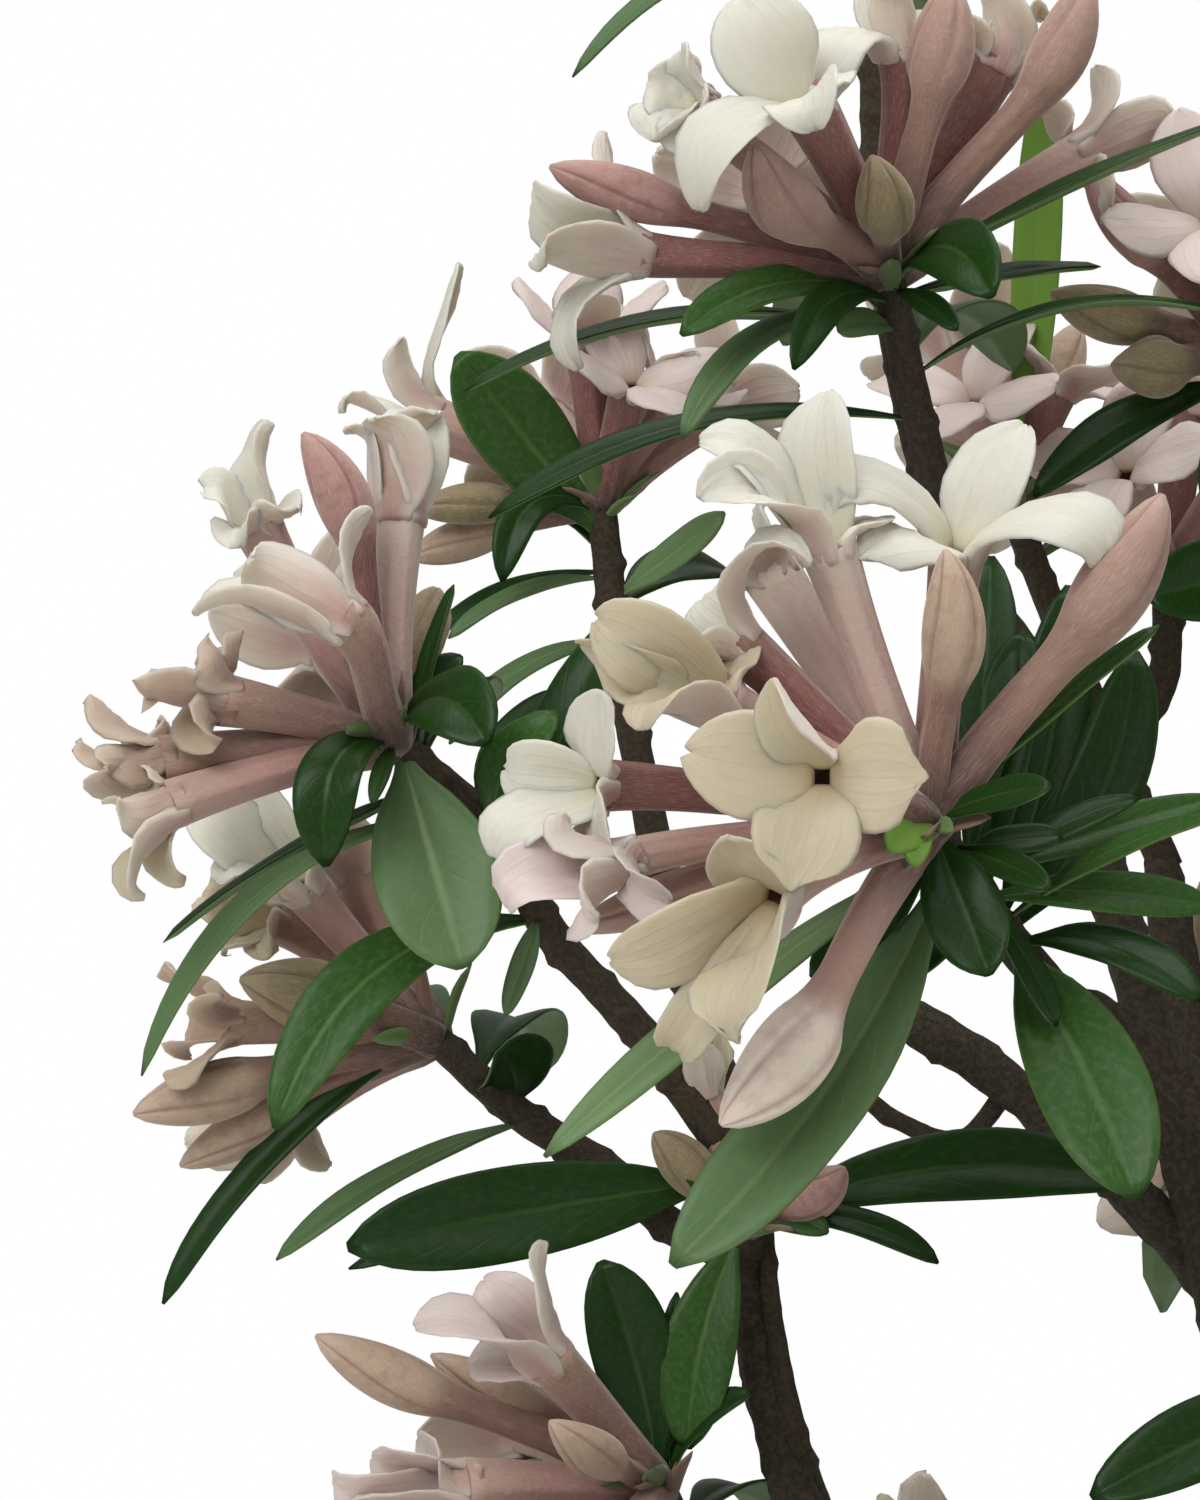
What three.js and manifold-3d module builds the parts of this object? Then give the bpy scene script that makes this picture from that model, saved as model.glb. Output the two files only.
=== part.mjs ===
// A young daphne shrub in flower, rooted in the ground: a short trunk, one tapering bough to each mass of
// foliage, and masses of three-sided twigs that carry heads of four-lobed blooms, buds and thick leaves.
// Millimetres, +Z up. The origin is the middle of the flat cut under the trunk, at ground level.
import * as THREE from "three";
import { mergeVertices } from "three/addons/utils/BufferGeometryUtils.js";
import Module from "manifold-3d";

const wasm = await Module();
wasm.setup();

// Driving sizes.
const GAP = 0.3; // left between solids that meet
const TRUNK_HEIGHT = 30;
const TRUNK_SIDES = 12;
const TRUNK_LEAN = new THREE.Vector3(1.5, 0.5, TRUNK_HEIGHT);
const TRUNK_PROFILE = [
  // share of the height, radius
  [0, 9.6],
  [0.1, 8],
  [0.3, 6.9],
  [0.7, 6.3],
  [0.93, 6.6],
  [1, 4.6],
];
const FLARE_RINGS = 3; // rings of the foot that swell into root lobes
const FLARE_DEPTH = 0.1;
const FLARE_LOBES = 5;
const BOUGH_SIDES = 6;
const BOUGH_STEPS = 7;
const BOUGH_FOOT_RADIUS = 2.7;
const BOUGH_TIP_RADIUS = 1.5;
const TWIG_SIDES = 3;
const TWIG_FOOT_RADIUS = 1.5;
const TWIG_TIP_RADIUS = 1.4;
const TWIG_STEP = 9; // length of one straight piece of a twig
const LIMB_REFERENCE = new THREE.Vector3(0.9, 0.1, 0.2); // the side that a limb's first corner faces
const ROOT_DEPTH = 1.2; // how far below a shoot's tip its blooms are rooted
const TUBE_RADIUS = 1.45; // a bloom's tube at its mouth
const TUBE_LENGTH = 15;
const THROAT_DIP = 0.2;
const LOBE_LENGTH = 8.2;
const LOBE_DEPTH = 1.3; // from the mouth down to where the lobes leave the tube
const CLEFT_SHARE = 0.34; // how far out the lobes part, as a share of their length
const BUD_RADIUS = 2.15;
const BUD_LENGTH = 20;
const BUD_NECK = 0.5; // where a bud starts to swell, as a share of its length
const BUD_BELLY = 0.74;
const NECK_SHARE = 0.75; // a bud's neck against an open bloom's mouth
const LEAF_LENGTH = 27;
const LEAF_THICKNESS = 0.5;
const LOWEST_LEAF = 4;
const LEAF_CHANNEL = 0.12; // how far a leaf's sides fold up, as a share of its width
const ELBOW_ROOM = 0.15; // added all round a piece when its place is tested
const GRID = 0.001; // the finest step between corners
const SLIVER = 0.0015; // the thinnest face that a fused mass may have
const GOLDEN_ANGLE = 137.5;

const BARK = 0x4a3c2c;
const FOLIAGE = 0x3f6138;
const UP = new THREE.Vector3(0, 0, 1);
const vec = (x, y, z) => new THREE.Vector3(x, y, z);
const radians = THREE.MathUtils.degToRad;

// A repeatable stream of numbers from 0 to 1.
function seeded(seed) {
  let state = seed >>> 0;
  const next = () => {
    state = (Math.imul(state, 1664525) + 1013904223) >>> 0;
    return state / 2 ** 32;
  };
  next();
  next();
  return next;
}

// The unit vector nearest to `wanted` that is square to `along`.
function square(wanted, along) {
  const off = wanted.clone().addScaledVector(along, -wanted.dot(along));
  if (off.lengthSq() < 1e-6) return square(vec(wanted.y + 0.3, wanted.z + 0.2, wanted.x + 0.7), along);
  return off.normalize();
}

// Corners round a centre, seen anticlockwise against `along`.
function ring(centre, along, radius, sides, reference) {
  const u = square(reference, along);
  const w = along.clone().cross(u);
  return Array.from({ length: sides }, (_, i) => {
    const a = (i / sides) * 2 * Math.PI;
    return centre
      .clone()
      .addScaledVector(u, radius * Math.cos(a))
      .addScaledVector(w, radius * Math.sin(a));
  });
}

function solid(points, faces) {
  const mesh = new wasm.Mesh({
    numProp: 3,
    vertProperties: new Float32Array(points.flatMap((p) => [p.x, p.y, p.z])),
    triVerts: new Uint32Array(faces.flat()),
  });
  return new wasm.Manifold(mesh);
}

// A closed skin over rings of corners. A ring of one corner is a point, and an end ring of several is capped.
function loft(rings) {
  const faces = [];
  const starts = [];
  let count = 0;
  for (const r of rings) {
    starts.push(count);
    count += r.length;
  }
  for (let k = 0; k + 1 < rings.length; k++) {
    const sides = Math.max(rings[k].length, rings[k + 1].length);
    for (let i = 0; i < sides; i++) {
      const j = (i + 1) % sides;
      const [a, b] = [starts[k], starts[k + 1]];
      if (rings[k].length === 1) faces.push([a, b + j, b + i]);
      else if (rings[k + 1].length === 1) faces.push([a + i, a + j, b]);
      else faces.push([a + i, a + j, b + j], [a + i, b + j, b + i]);
    }
  }
  const last = starts[rings.length - 1];
  for (let i = 1; i + 1 < rings[0].length; i++) faces.push([0, i + 1, i]);
  for (let i = 1; i + 1 < rings.at(-1).length; i++) faces.push([last, last + i, last + i + 1]);
  return solid(rings.flat(), faces);
}

// A tapering limb or twig along a curve, its ends square to it. `swell` is added all round it and at its tip.
function limb(curve, foot, tip, sides, steps, swell = 0) {
  const rings = [];
  for (let k = 0; k <= steps; k++) {
    const t = k / steps;
    const radius = foot + (tip - foot) * t + swell;
    const along = curve.getTangent(t);
    const centre = curve.getPoint(t).addScaledVector(along, k === steps ? swell : 0);
    rings.push(ring(centre, along, radius, sides, LIMB_REFERENCE));
  }
  return loft(rings);
}

function trunkSolid(swell = 0) {
  const rings = TRUNK_PROFILE.map(([share, radius], k) => {
    const centre = TRUNK_LEAN.clone().multiplyScalar(share);
    const depth = FLARE_DEPTH * Math.max(0, 1 - k / FLARE_RINGS);
    const flare = (i) => 1 + depth * Math.cos((i * FLARE_LOBES * 2 * Math.PI) / TRUNK_SIDES);
    return ring(centre, UP, 1, TRUNK_SIDES, vec(1, 0, 0)).map((p, i) =>
      p.sub(centre).multiplyScalar(radius * flare(i) + swell).add(centre),
    );
  });
  return loft(rings);
}

// A leaf: root, tip and a flat-sided waist that the bow lifts along its upper face.
function leafSolid({ root, tip, width, bow, face }, extra = 0) {
  const along = tip.clone().sub(root).normalize();
  const up = square(face, along);
  const side = up.clone().cross(along);
  const waist = root.clone().lerp(tip, 0.5).addScaledVector(up, bow);
  const half = width / 2 + extra;
  const thick = LEAF_THICKNESS / 2 + extra;
  const edge = (s) => waist.clone().addScaledVector(side, s * half).addScaledVector(up, LEAF_CHANNEL * width);
  const middle = (s) => waist.clone().addScaledVector(up, s * thick);
  const end = tip.clone().addScaledVector(along, extra);
  return loft([[root], [edge(1), middle(1), edge(-1), middle(-1)], [end]]);
}

// A bud: a slim tube that swells to a pointed body.
function budSolid({ root, tip, girth }, extra = 0) {
  const along = tip.clone().sub(root).normalize();
  const at = (share) => root.clone().lerp(tip, share);
  const neck = ring(at(BUD_NECK), along, TUBE_RADIUS * NECK_SHARE + extra, 3, UP);
  const belly = ring(at(BUD_BELLY), along, BUD_RADIUS * girth + extra, 3, UP);
  return loft([[root], neck, belly, [tip.clone().addScaledVector(along, extra)]]);
}

// An open bloom: a tube from its root to its mouth, and four lobes that spread by an angle from its axis.
function bloomSolid({ root, mouth, spin, spread, girth }, extra = 0) {
  const along = mouth.clone().sub(root).normalize();
  const out = (degrees) => {
    const u = square(UP, along);
    const w = along.clone().cross(u);
    const a = radians(spin + degrees);
    return u.multiplyScalar(Math.cos(a)).addScaledVector(w, Math.sin(a));
  };
  const lean = radians(spread);
  const place = (reach, degrees) =>
    mouth
      .clone()
      .addScaledVector(along, reach * Math.cos(lean))
      .addScaledVector(out(degrees), TUBE_RADIUS + reach * Math.sin(lean));
  const lobe = LOBE_LENGTH * girth + extra;
  const quarters = [0, 90, 180, 270];
  const tips = quarters.map((a) => place(lobe, a));
  const clefts = quarters.map((a) => place(lobe * CLEFT_SHARE, a + 45));
  const throat = quarters.map((a) =>
    mouth.clone().addScaledVector(along, -LOBE_DEPTH - extra).addScaledVector(out(a), TUBE_RADIUS + extra),
  );
  const [T, N, R, C, B] = [0, 4, 8, 12, 13]; // where each group of points starts
  const centre = mouth.clone().addScaledVector(along, extra - THROAT_DIP);
  const points = [...tips, ...clefts, ...throat, centre, root];
  const faces = [];
  for (let i = 0; i < 4; i++) {
    const before = (i + 3) % 4;
    const after = (i + 1) % 4;
    faces.push([C, N + before, T + i], [C, T + i, N + i]);
    faces.push([T + i, N + before, R + i], [T + i, R + i, N + i]);
    faces.push([N + i, R + i, R + after], [R + i, B, R + after]);
  }
  return solid(points, faces);
}

// Boughs: where each leaves the trunk (height), its two handles and its tip.
const BOUGHS = {
  left: [24, [-22, -4, 46], [-36.5, -8, 70], [-38.9, -10, 95]],
  back_left: [24, [-21, 6, 48], [-39.5, 10, 74], [-39, 8, 103]],
  low_left: [17, [-16, -6, 34], [-38, -13, 52], [-42.2, -14, 74.5]],
  centre: [26, [7, -5, 72], [6, -18, 102], [-18.8, -25, 113.6]],
  stub: [26, [9, 6, 66], [6, 6, 90], [-27.4, 4, 111.3]],
  top: [27, [3, 5, 72], [-10, 4, 108], [-16.6, 3, 133.5]],
  right_top: [28, [8, 0, 70], [6, 2, 100], [3, 1, 130]],
  far: [27, [0, 16, 60], [-2, 32, 95], [-6, 38, 122]],
  inner: [20, [7, -9, 44], [5, -23, 58], [3, -27, 78]],
  right_front: [22, [18, -12, 48], [42, -28, 70], [46, -34, 100]],
  right: [22, [22, 2, 46], [50, 12, 64], [55, 15, 88]],
  right_back: [22, [12, 16, 48], [29, 44, 74], [32, 48, 106]],
  back: [22, [0, 18, 48], [6, 48, 66], [9, 58, 90]],
  front: [22, [8, -18, 44], [19, -46, 60], [22, -55, 82]],
  crown_front: [29, [8, -8, 76], [14, -20, 110], [16, -26, 146]],
  crown_right: [29, [20, 2, 70], [40, 4, 104], [42, 5, 140]],
  crown_back: [29, [10, 10, 76], [17, 28, 110], [20, 34, 150]],
  low_front: [12, [-4, -16, 24], [-12, -38, 28], [-15, -48, 40]],
  low_right_front: [13, [14, -12, 26], [36, -32, 30], [43, -40, 44]],
  low_right: [12, [18, 4, 24], [42, 16, 28], [53, 20, 40]],
  low_back: [13, [8, 16, 26], [16, 44, 30], [20, 55, 43]],
  low_left_back: [12, [-12, 14, 24], [-28, 36, 26], [-35, 44, 38]],
  low_left_side: [11, [-18, 0, 22], [-42, 2, 26], [-54, 4, 36]],
};

// Masses set by hand. A shoot's path starts at its bough's tip ("tip") or some share along the mass's first
// shoot, and ends at a head. Blooms: kind, then right, up and near in mm from the head to a bud's tip or a
// bloom's mouth, then spin and spread in degrees, and girth. Leaves: how far down the shoot each starts, its
// tip from the head in the same way, width, bow, and how far its upper face turns, from up (0) to front (90).
const OPEN = "open";
const BUD = "bud";
const OLD = "old";
const PLACED = {
  left: [
    {
      path: ["tip", [-39.2, -12, 100], [-45.5, -14, 110], [-52.5, -16, 118], [-55.5, -19, 124]],
      head: [-63.2, -22, 131],
      blooms: [
        [OLD, -8.6, 14.2, 0, 20, 62, 0.9],
        [BUD, -5.3, 19.8, 3, 0, 0, 0.95],
        [OPEN, 1, 14.9, -3, 10, 26, 0.8],
        [OPEN, -2.6, 7.6, 10, 40, 62, 1],
        [OLD, -10.6, 2.3, 4, 0, 60, 0.75],
        [OLD, -14.5, -2, 2, 30, 40, 1],
        [OPEN, -13.9, -4.6, 5, 20, 50, 0.7],
        [BUD, 3, 10, -12, 0, 0, 0.9],
        [OPEN, -4, 6, -12, 10, 70, 1],
      ],
      leaves: [
        [1.5, 5.3, -15.2, 7, 7.8, 0.8, 88],
        [1.2, -3.6, -8.6, 6, 4.6, 2.5, 70],
        [0.8, 7, -0.7, 8, 4.6, 1.6, 55],
        [1, 5, 5.3, -3, 2.8, 0.8, 30],
        [8, -16, -22.5, 1, 4.8, 5, 40],
        [5, -15, -13.9, -4, 4.2, 2.6, 20],
        [17.5, -7, -25.8, 4, 5, 4.4, 60],
        [16, 17, 9, -4, 4.6, 3, 25],
        [12, 11.5, 1.5, 2, 4.4, 3, 40],
        [3, 6, 2, -20, 5.5, 3, 0],
        [6, -12, -4, -20, 5.5, 4, 0],
      ],
    },
    {
      path: [0.02, [-43.6, -10.5, 97.3], [-49, -8, 101.5], [-54.3, -5, 104.7]],
      head: [-61.2, -2, 110.5],
      blooms: [
        [OPEN, -8.7, 10.4, 2, 20, 66, 0.9],
        [OPEN, -5, 10.8, -5, 45, 60, 0.9],
        [OLD, -11, 7.7, -2, 0, 40, 0.8],
        [BUD, -12.5, 3.8, 6, 0, 0, 1.15],
        [OLD, -13.6, 0.7, 3, 30, 40, 0.7],
        [BUD, -20, -5.6, 4, 0, 0, 1],
        [BUD, -17, -9.4, 1, 0, 0, 0.95],
        [OPEN, -9.4, -6, -6, 30, 66, 0.9],
      ],
      leaves: [
        [0.8, -18, -18.8, 3, 4.6, 4.6, 25],
        [8.5, 5, -1.4, 5, 6, 1.2, 70],
        [10, -10, -15.5, 6, 4.2, 3, 15],
        [16.5, -5, -16, 7, 6.4, 1.6, 84],
        [3, -6, -2, -19, 5.6, 4, 0],
        [5, 8, -4, -18, 5.6, 4, 0],
      ],
    },
    {
      path: [0.06, [-39.6, -13.4, 97.2]],
      head: [-39.2, -13.8, 98.6],
      blooms: [
        [OPEN, -2.9, 8.6, -1, 30, 22, 0.5],
        [BUD, -6.2, 5.6, 1, 0, 0, 0.9],
        [BUD, 6.6, 3.4, 3, 0, 0, 1],
      ],
      leaves: [
        [0.6, -3.9, -15.6, 2, 4.4, 0.6, 86],
        [0.4, 13, -3.2, 1, 2.4, 2.4, 20],
        [0.8, 27, 2, -3, 5, 1.6, 62],
      ],
    },
  ],
  low_left: [
    {
      path: ["tip"],
      head: [-45.3, -15, 80.9],
      blooms: [
        [OPEN, -7.4, 9, 6, 30, 58, 1],
        [BUD, -22.7, 10, 3, 0, 0, 0.98],
        [BUD, -15.1, 8.4, 0, 0, 0, 0.9],
        [BUD, -7, 5, 9, 0, 0, 0.9],
        [OPEN, -12.8, 0, 4, 20, 50, 0.95],
        [OPEN, -4, -6, 13, 20, 70, 1],
        [BUD, -14, -8, -3, 0, 0, 1],
        [OPEN, -9, 2, -12, 0, 70, 1],
      ],
      leaves: [
        [0.6, -3.7, 14.8, 1, 5.4, 0.8, 84],
        [1.5, 6.5, 6, 2, 3.4, 1.4, 50],
        [2, 14, -14, 8, 5.6, 3, 40],
        [3, -18, -12, 6, 5.6, 4, 30],
        [4, 0, -16, 14, 5.8, 3, 60],
        [3, -12, -6, -20, 5.6, 4, 0],
        [4, 10, -8, -18, 5.6, 4, 0],
      ],
    },
  ],
  centre: [
    {
      path: ["tip", [-24, -31, 119.6]],
      head: [-28.5, -38, 125.9],
      blooms: [
        [OPEN, -6.3, 17.1, 3, 20, 48, 1],
        [OPEN, -9.5, 15.4, -5, 0, 50, 0.9],
        [OPEN, -12, 11, 2, 45, 40, 0.9],
        [OPEN, 2.2, 17, -1.5, 35, 84, 1],
        [OPEN, -7, 2.5, 12, 15, 86, 1],
        [OPEN, -13.3, 7.3, 5, 10, 66, 0.95],
        [OPEN, -21, 1.9, 2, 20, 50, 0.9],
        [OLD, -19, -2.8, 5, 0, 40, 0.5],
        [BUD, -22.4, -7.3, 1, 0, 0, 0.7],
        [OPEN, -10, -5.2, 10, 50, 84, 1],
        [BUD, 1, 16.6, 5, 0, 0, 0.95],
        [BUD, 14.9, 20.2, 2, 0, 0, 1.1],
        [BUD, -13, -19.2, 6, 0, 0, 1.1],
      ],
      leaves: [
        [4.5, -16, -28, 6, 6, 2.4, 66],
        [3.5, -24, -21.5, 2, 4.6, 3, 35],
        [1.6, 3.8, -10, 5, 4.6, 0.7, 80],
        [3.5, 7.6, -4.6, 5, 2.6, 0.8, 40],
        [0.8, 7.6, 1.8, 6, 2.6, 0.8, 40],
        [0.8, 15, 12, -1, 4.4, 1.6, 10],
        [13, 14.5, 10.6, -12, 4.8, 1, 84],
        [13.5, 13, -24, 4, 8.2, 1, 84],
        [12, 18.5, 0, 2, 4, 2.6, 20],
        [2.4, -7, -10.5, -4, 3.6, 1, 70],
        [9, -1, -10.6, -2, 2.8, 1, 20],
      ],
    },
  ],
  top: [
    {
      path: ["tip", [-23.6, 0, 143.2], [-26.8, -6, 152]],
      head: [-29.6, -12, 163],
      blooms: [
        [BUD, -22.8, 6.2, 4, 0, 0, 0.92],
        [OPEN, -17.2, 0.5, 3, 35, 44, 0.85],
        [OPEN, -5.8, 9.8, 10, 25, 80, 1.05],
        [OLD, -13.2, 10.5, 5, 20, 50, 0.85],
        [BUD, -9.2, 6.8, 12, 0, 0, 0.95],
        [BUD, -1.4, 6.4, 9, 0, 0, 0.95],
        [OPEN, 0.7, 14.6, 2, 40, 92, 0.95],
        [BUD, 4.1, 18.7, 4, 0, 0, 1.1],
        [OPEN, 7.8, 13.9, -4, 10, 70, 0.9],
        [BUD, 13.6, 19.4, 1, 0, 0, 1.05],
        [OPEN, 13.9, 8, -7, 30, 70, 0.95],
        [OPEN, -8, 6, -12, 10, 70, 1],
        [BUD, 3, 9, -15, 0, 0, 1],
      ],
      leaves: [
        [3, -14, -5.4, 7, 4.6, 3.4, 30],
        [3, -6.6, -7.8, 9, 4.4, 3, 40],
        [5.4, -28.5, -8.8, 2, 4.4, 3.3, 4],
        [4.4, -13.9, -12.2, 5, 4.4, 3.6, 30],
        [1.5, 6.5, -3.2, 11, 4.4, 2.6, 45],
        [1, 23.5, 9.8, 0, 5, 1.4, 8],
        [2.5, 15.3, 0.5, -8, 5, 1.6, 20],
        [8.8, 22.4, -3.2, 0, 5.4, 2.6, 16],
        [12, -27, -17.2, -2, 4.6, 3, 20],
        [5, -6, -4, -22, 5.6, 4, 0],
        [7, 10, -6, -19, 5.6, 4, 0],
      ],
    },
    {
      path: [0.3, [-26.3, 6, 152], [-28.6, 11, 166], [-29, 13, 180]],
      head: [-28, 14, 190],
      blooms: [
        [OPEN, -11, 8, 4, 0, 70, 1],
        [OPEN, 2, 13, 6, 30, 75, 1],
        [BUD, -6, 18, -2, 0, 0, 1],
        [OPEN, 10, 9, -3, 20, 70, 1],
        [OPEN, -4, 10, -10, 0, 70, 1],
        [BUD, 14, 3, 8, 0, 0, 0.9],
      ],
      leaves: [
        [2, -23, -11, -2, 4, 5, 10],
        [3, 20, 3, 4, 5, 4, 30],
        [4, 4, -4, -24, 5.6, 5, 0],
        [5, -16, 2, -14, 5.6, 4, 0],
        [2, -4, 2, 21, 5.2, 4, 0],
      ],
    },
  ],
  back_left: [
    {
      path: ["tip", [-42.5, 10, 113], [-45.6, 13, 126], [-47.8, 14, 138]],
      head: [-49, 14, 148.9],
      blooms: [
        [OPEN, -12.7, 5, 0, 40, 52, 1.05],
        [OPEN, -0.9, 11.2, 2, 20, 40, 0.8],
        [OPEN, 2.5, 7.5, 5, 0, 60, 0.8],
        [OPEN, 4.9, 6.4, 0, 0, 40, 0.7],
        [BUD, -13.4, -1.6, 3, 0, 0, 0.9],
        [BUD, -13.8, -5, 0, 0, 0, 0.9],
        [OPEN, 9.4, 6.5, -5, 0, 66, 0.9],
        [OPEN, -4, 6, -12, 30, 70, 1],
      ],
      leaves: [
        [3.5, -10.2, 9.4, 6, 6.2, 1, 88],
        [2, -7, -6.9, 6, 3.2, 1.6, 60],
        [6.5, -10.9, -10.9, 3, 3.8, 2.2, 30],
        [8, 9, -1.8, 3, 4, 1.4, 60],
        [9, 10, -6, -12, 5, 3, 30],
        [5, -10, -2, -20, 5.6, 4, 0],
        [6, -13, -11, -4, 4, 3, 20],
      ],
    },
  ],
  right_top: [
    {
      path: ["tip", [0, 0.5, 145]],
      head: [-4.6, 0, 158.7],
      blooms: [
        [BUD, -10.9, 11.6, 6, 0, 0, 0.95],
        [OPEN, -2.6, 7.6, 8, 20, 60, 0.9],
        [BUD, -13, 3.2, 2, 0, 0, 1.25],
        [BUD, -9, -2, 4, 0, 0, 1.2],
        [OPEN, 6, 12, 4, 0, 76, 1],
        [OPEN, 12, 4, 5, 30, 76, 1],
        [BUD, 4, 17, -5, 0, 0, 1],
        [OPEN, 0, 8, -12, 10, 70, 1],
      ],
      leaves: [
        [5, -1, -14.5, 8, 5.2, 2.4, 70],
        [3, -14, -11, 0, 5, 3, 30],
        [16, -6.5, -18.2, 4, 7, 1, 80],
        [3, 18, -8, 12, 5.6, 4, 0],
        [4, 20, -2, -10, 5.6, 4, 0],
        [5, 4, -4, -22, 5.6, 4, 0],
      ],
    },
  ],
  far: [
    {
      path: ["tip", [-12, 37, 135]],
      head: [-17.8, 35, 149],
      blooms: [
        [OPEN, -3, 7.5, 4, 0, 70, 1],
        [OPEN, 3.5, 9, 0, 40, 70, 1],
        [OPEN, -4, 12, -6, 10, 60, 1],
        [BUD, 6, 14, -8, 0, 0, 1],
        [OPEN, 0, 4, -13, 10, 70, 1],
      ],
      leaves: [
        [2, 2.5, 33, 4, 4, 1, 88],
        [4, -6, 4, -22, 5.6, 4, 0],
        [5, 14, -8, -14, 5.6, 4, 0],
      ],
    },
    {
      path: [0.3, [-6, 38, 135]],
      head: [-5.5, 37, 144],
      blooms: [
        [OPEN, -4, 7, 6, 0, 70, 1],
        [OPEN, 6, 8, 2, 40, 70, 1],
        [OPEN, 2, 12, -6, 10, 60, 1],
        [BUD, 12, 12, 0, 0, 0, 1],
        [OPEN, 8, 2, -11, 10, 70, 1],
      ],
      leaves: [
        [2, 19, -4, 6, 5.6, 4, 0],
        [4, 12, -4, -20, 5.6, 4, 0],
        [19, -6, -18, -2, 4, 2, 40],
      ],
    },
  ],
  inner: [
    {
      path: ["tip"],
      head: [2, -29, 92],
      blooms: [
        [OPEN, 8, 9, 6, 0, 70, 1],
        [OPEN, 12, -1, 8, 40, 75, 1],
        [BUD, 4, 17, 2, 0, 0, 1],
        [OPEN, 2, 5, 13, 10, 80, 1],
      ],
      leaves: [
        [2, -19.5, -10, 4, 5, 3, 60],
        [3, 5, -14, 14, 5.6, 4, 0],
        [3, 17, -10, -8, 5.6, 4, 0],
      ],
    },
  ],
};

// Masses that grow by the seeded rule: shoots, and how far from the bough's tip their leaves may reach.
const GROWN = {
  right_front: [2, 46],
  right: [2, 46],
  right_back: [2, 46],
  back: [2, 44],
  front: [2, 44],
  crown_front: [2, 62],
  crown_right: [2, 60],
  crown_back: [2, 62],
  low_front: [2, 44],
  low_right_front: [2, 44],
  low_right: [2, 44],
  low_back: [2, 44],
  low_left_back: [2, 42],
  low_left_side: [1, 44],
};
const GROWN_LEFT = -4; // above this height grown masses keep right of this line, so the placed ones stay open
const GROWN_LOW = 72;
const SHOOT_LENGTH = 21;
const CROWN_SHOOT_LENGTH = 25;
const BLOOMS_A_HEAD = 8;
const LEAVES_A_HEAD = 12;
const SOLID_SHARE = 2; // one in so many of a grown head's blooms and leaves is solid here

// The path, head, blooms and leaves of one grown shoot, from its start and its first direction.
function grownShoot(random, start, way, length) {
  const between = (low, high) => low + (high - low) * random();
  const bend = start.clone().addScaledVector(way, length * 0.5);
  const axis = way.clone().addScaledVector(UP, 0.35).normalize();
  const head = bend.clone().addScaledVector(axis, length * 0.5);
  const u = square(UP, axis);
  const w = axis.clone().cross(u);
  const toward = (turn, tilt) => {
    const [a, b] = [radians(turn), radians(tilt)];
    return axis
      .clone()
      .multiplyScalar(Math.cos(b))
      .addScaledVector(u, Math.sin(b) * Math.cos(a))
      .addScaledVector(w, Math.sin(b) * Math.sin(a));
  };
  const first = between(0, 360);
  const blooms = [];
  for (let i = 0; i < BLOOMS_A_HEAD; i++) {
    const tilt = 12 + 70 * Math.sqrt((i + 0.4) / BLOOMS_A_HEAD);
    const out = toward(first + i * GOLDEN_ANGLE + between(-12, 12), tilt);
    const kind = random() < 0.3 ? BUD : OPEN;
    const far = (kind === BUD ? BUD_LENGTH : TUBE_LENGTH) * between(0.85, 1.1);
    const end = head.clone().addScaledVector(out, far);
    const bloom = [kind, end, between(0, 90), between(55, 90), between(0.9, 1.05)];
    if (i % SOLID_SHARE === 0) blooms.push(bloom);
  }
  const leaves = [];
  for (let i = 0; i < LEAVES_A_HEAD; i++) {
    const out = toward(first + 60 + i * GOLDEN_ANGLE + between(-15, 15), between(62, 104));
    const long = LEAF_LENGTH * between(0.8, 1.15);
    const down = 1.5 + i * 0.6;
    const root = head.clone().addScaledVector(axis, -down);
    const tip = root.clone().addScaledVector(out, long).addScaledVector(UP, -0.12 * long);
    const leaf = { root, tip, width: between(5, 6.6), bow: between(1.5, 4.5), face: axis };
    if (i % SOLID_SHARE === 0) leaves.push(leaf);
  }
  return { points: [start, bend, head], head, axis, blooms, leaves };
}

// Every shoot of a grown mass: the first goes on from the bough, the others leave beside it.
function grownMass(name, number) {
  const random = seeded(900 + 37 * number);
  const [count] = GROWN[name];
  const { tip, way } = boughEnd(name);
  const length = name.startsWith("crown") ? CROWN_SHOOT_LENGTH : SHOOT_LENGTH;
  const outward = vec(tip.x, tip.y, 0).normalize();
  const shoots = [];
  for (let i = 0; i < count; i++) {
    const side = outward.clone().applyAxisAngle(UP, radians(i * 180 + 50 + 40 * random()));
    const heading = way.clone().addScaledVector(outward, 0.3).addScaledVector(side, 1.05);
    shoots.push(grownShoot(random, tip, heading.normalize(), length * (0.9 + 0.25 * random())));
  }
  return shoots;
}

function boughCurve(name) {
  const [height, ...rest] = BOUGHS[name];
  const foot = TRUNK_LEAN.clone().multiplyScalar(height / TRUNK_HEIGHT);
  return new THREE.CubicBezierCurve3(foot, ...rest.map((p) => vec(...p)));
}

function boughEnd(name) {
  const curve = boughCurve(name);
  return { tip: curve.getPoint(1), way: curve.getTangent(1) };
}

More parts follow.
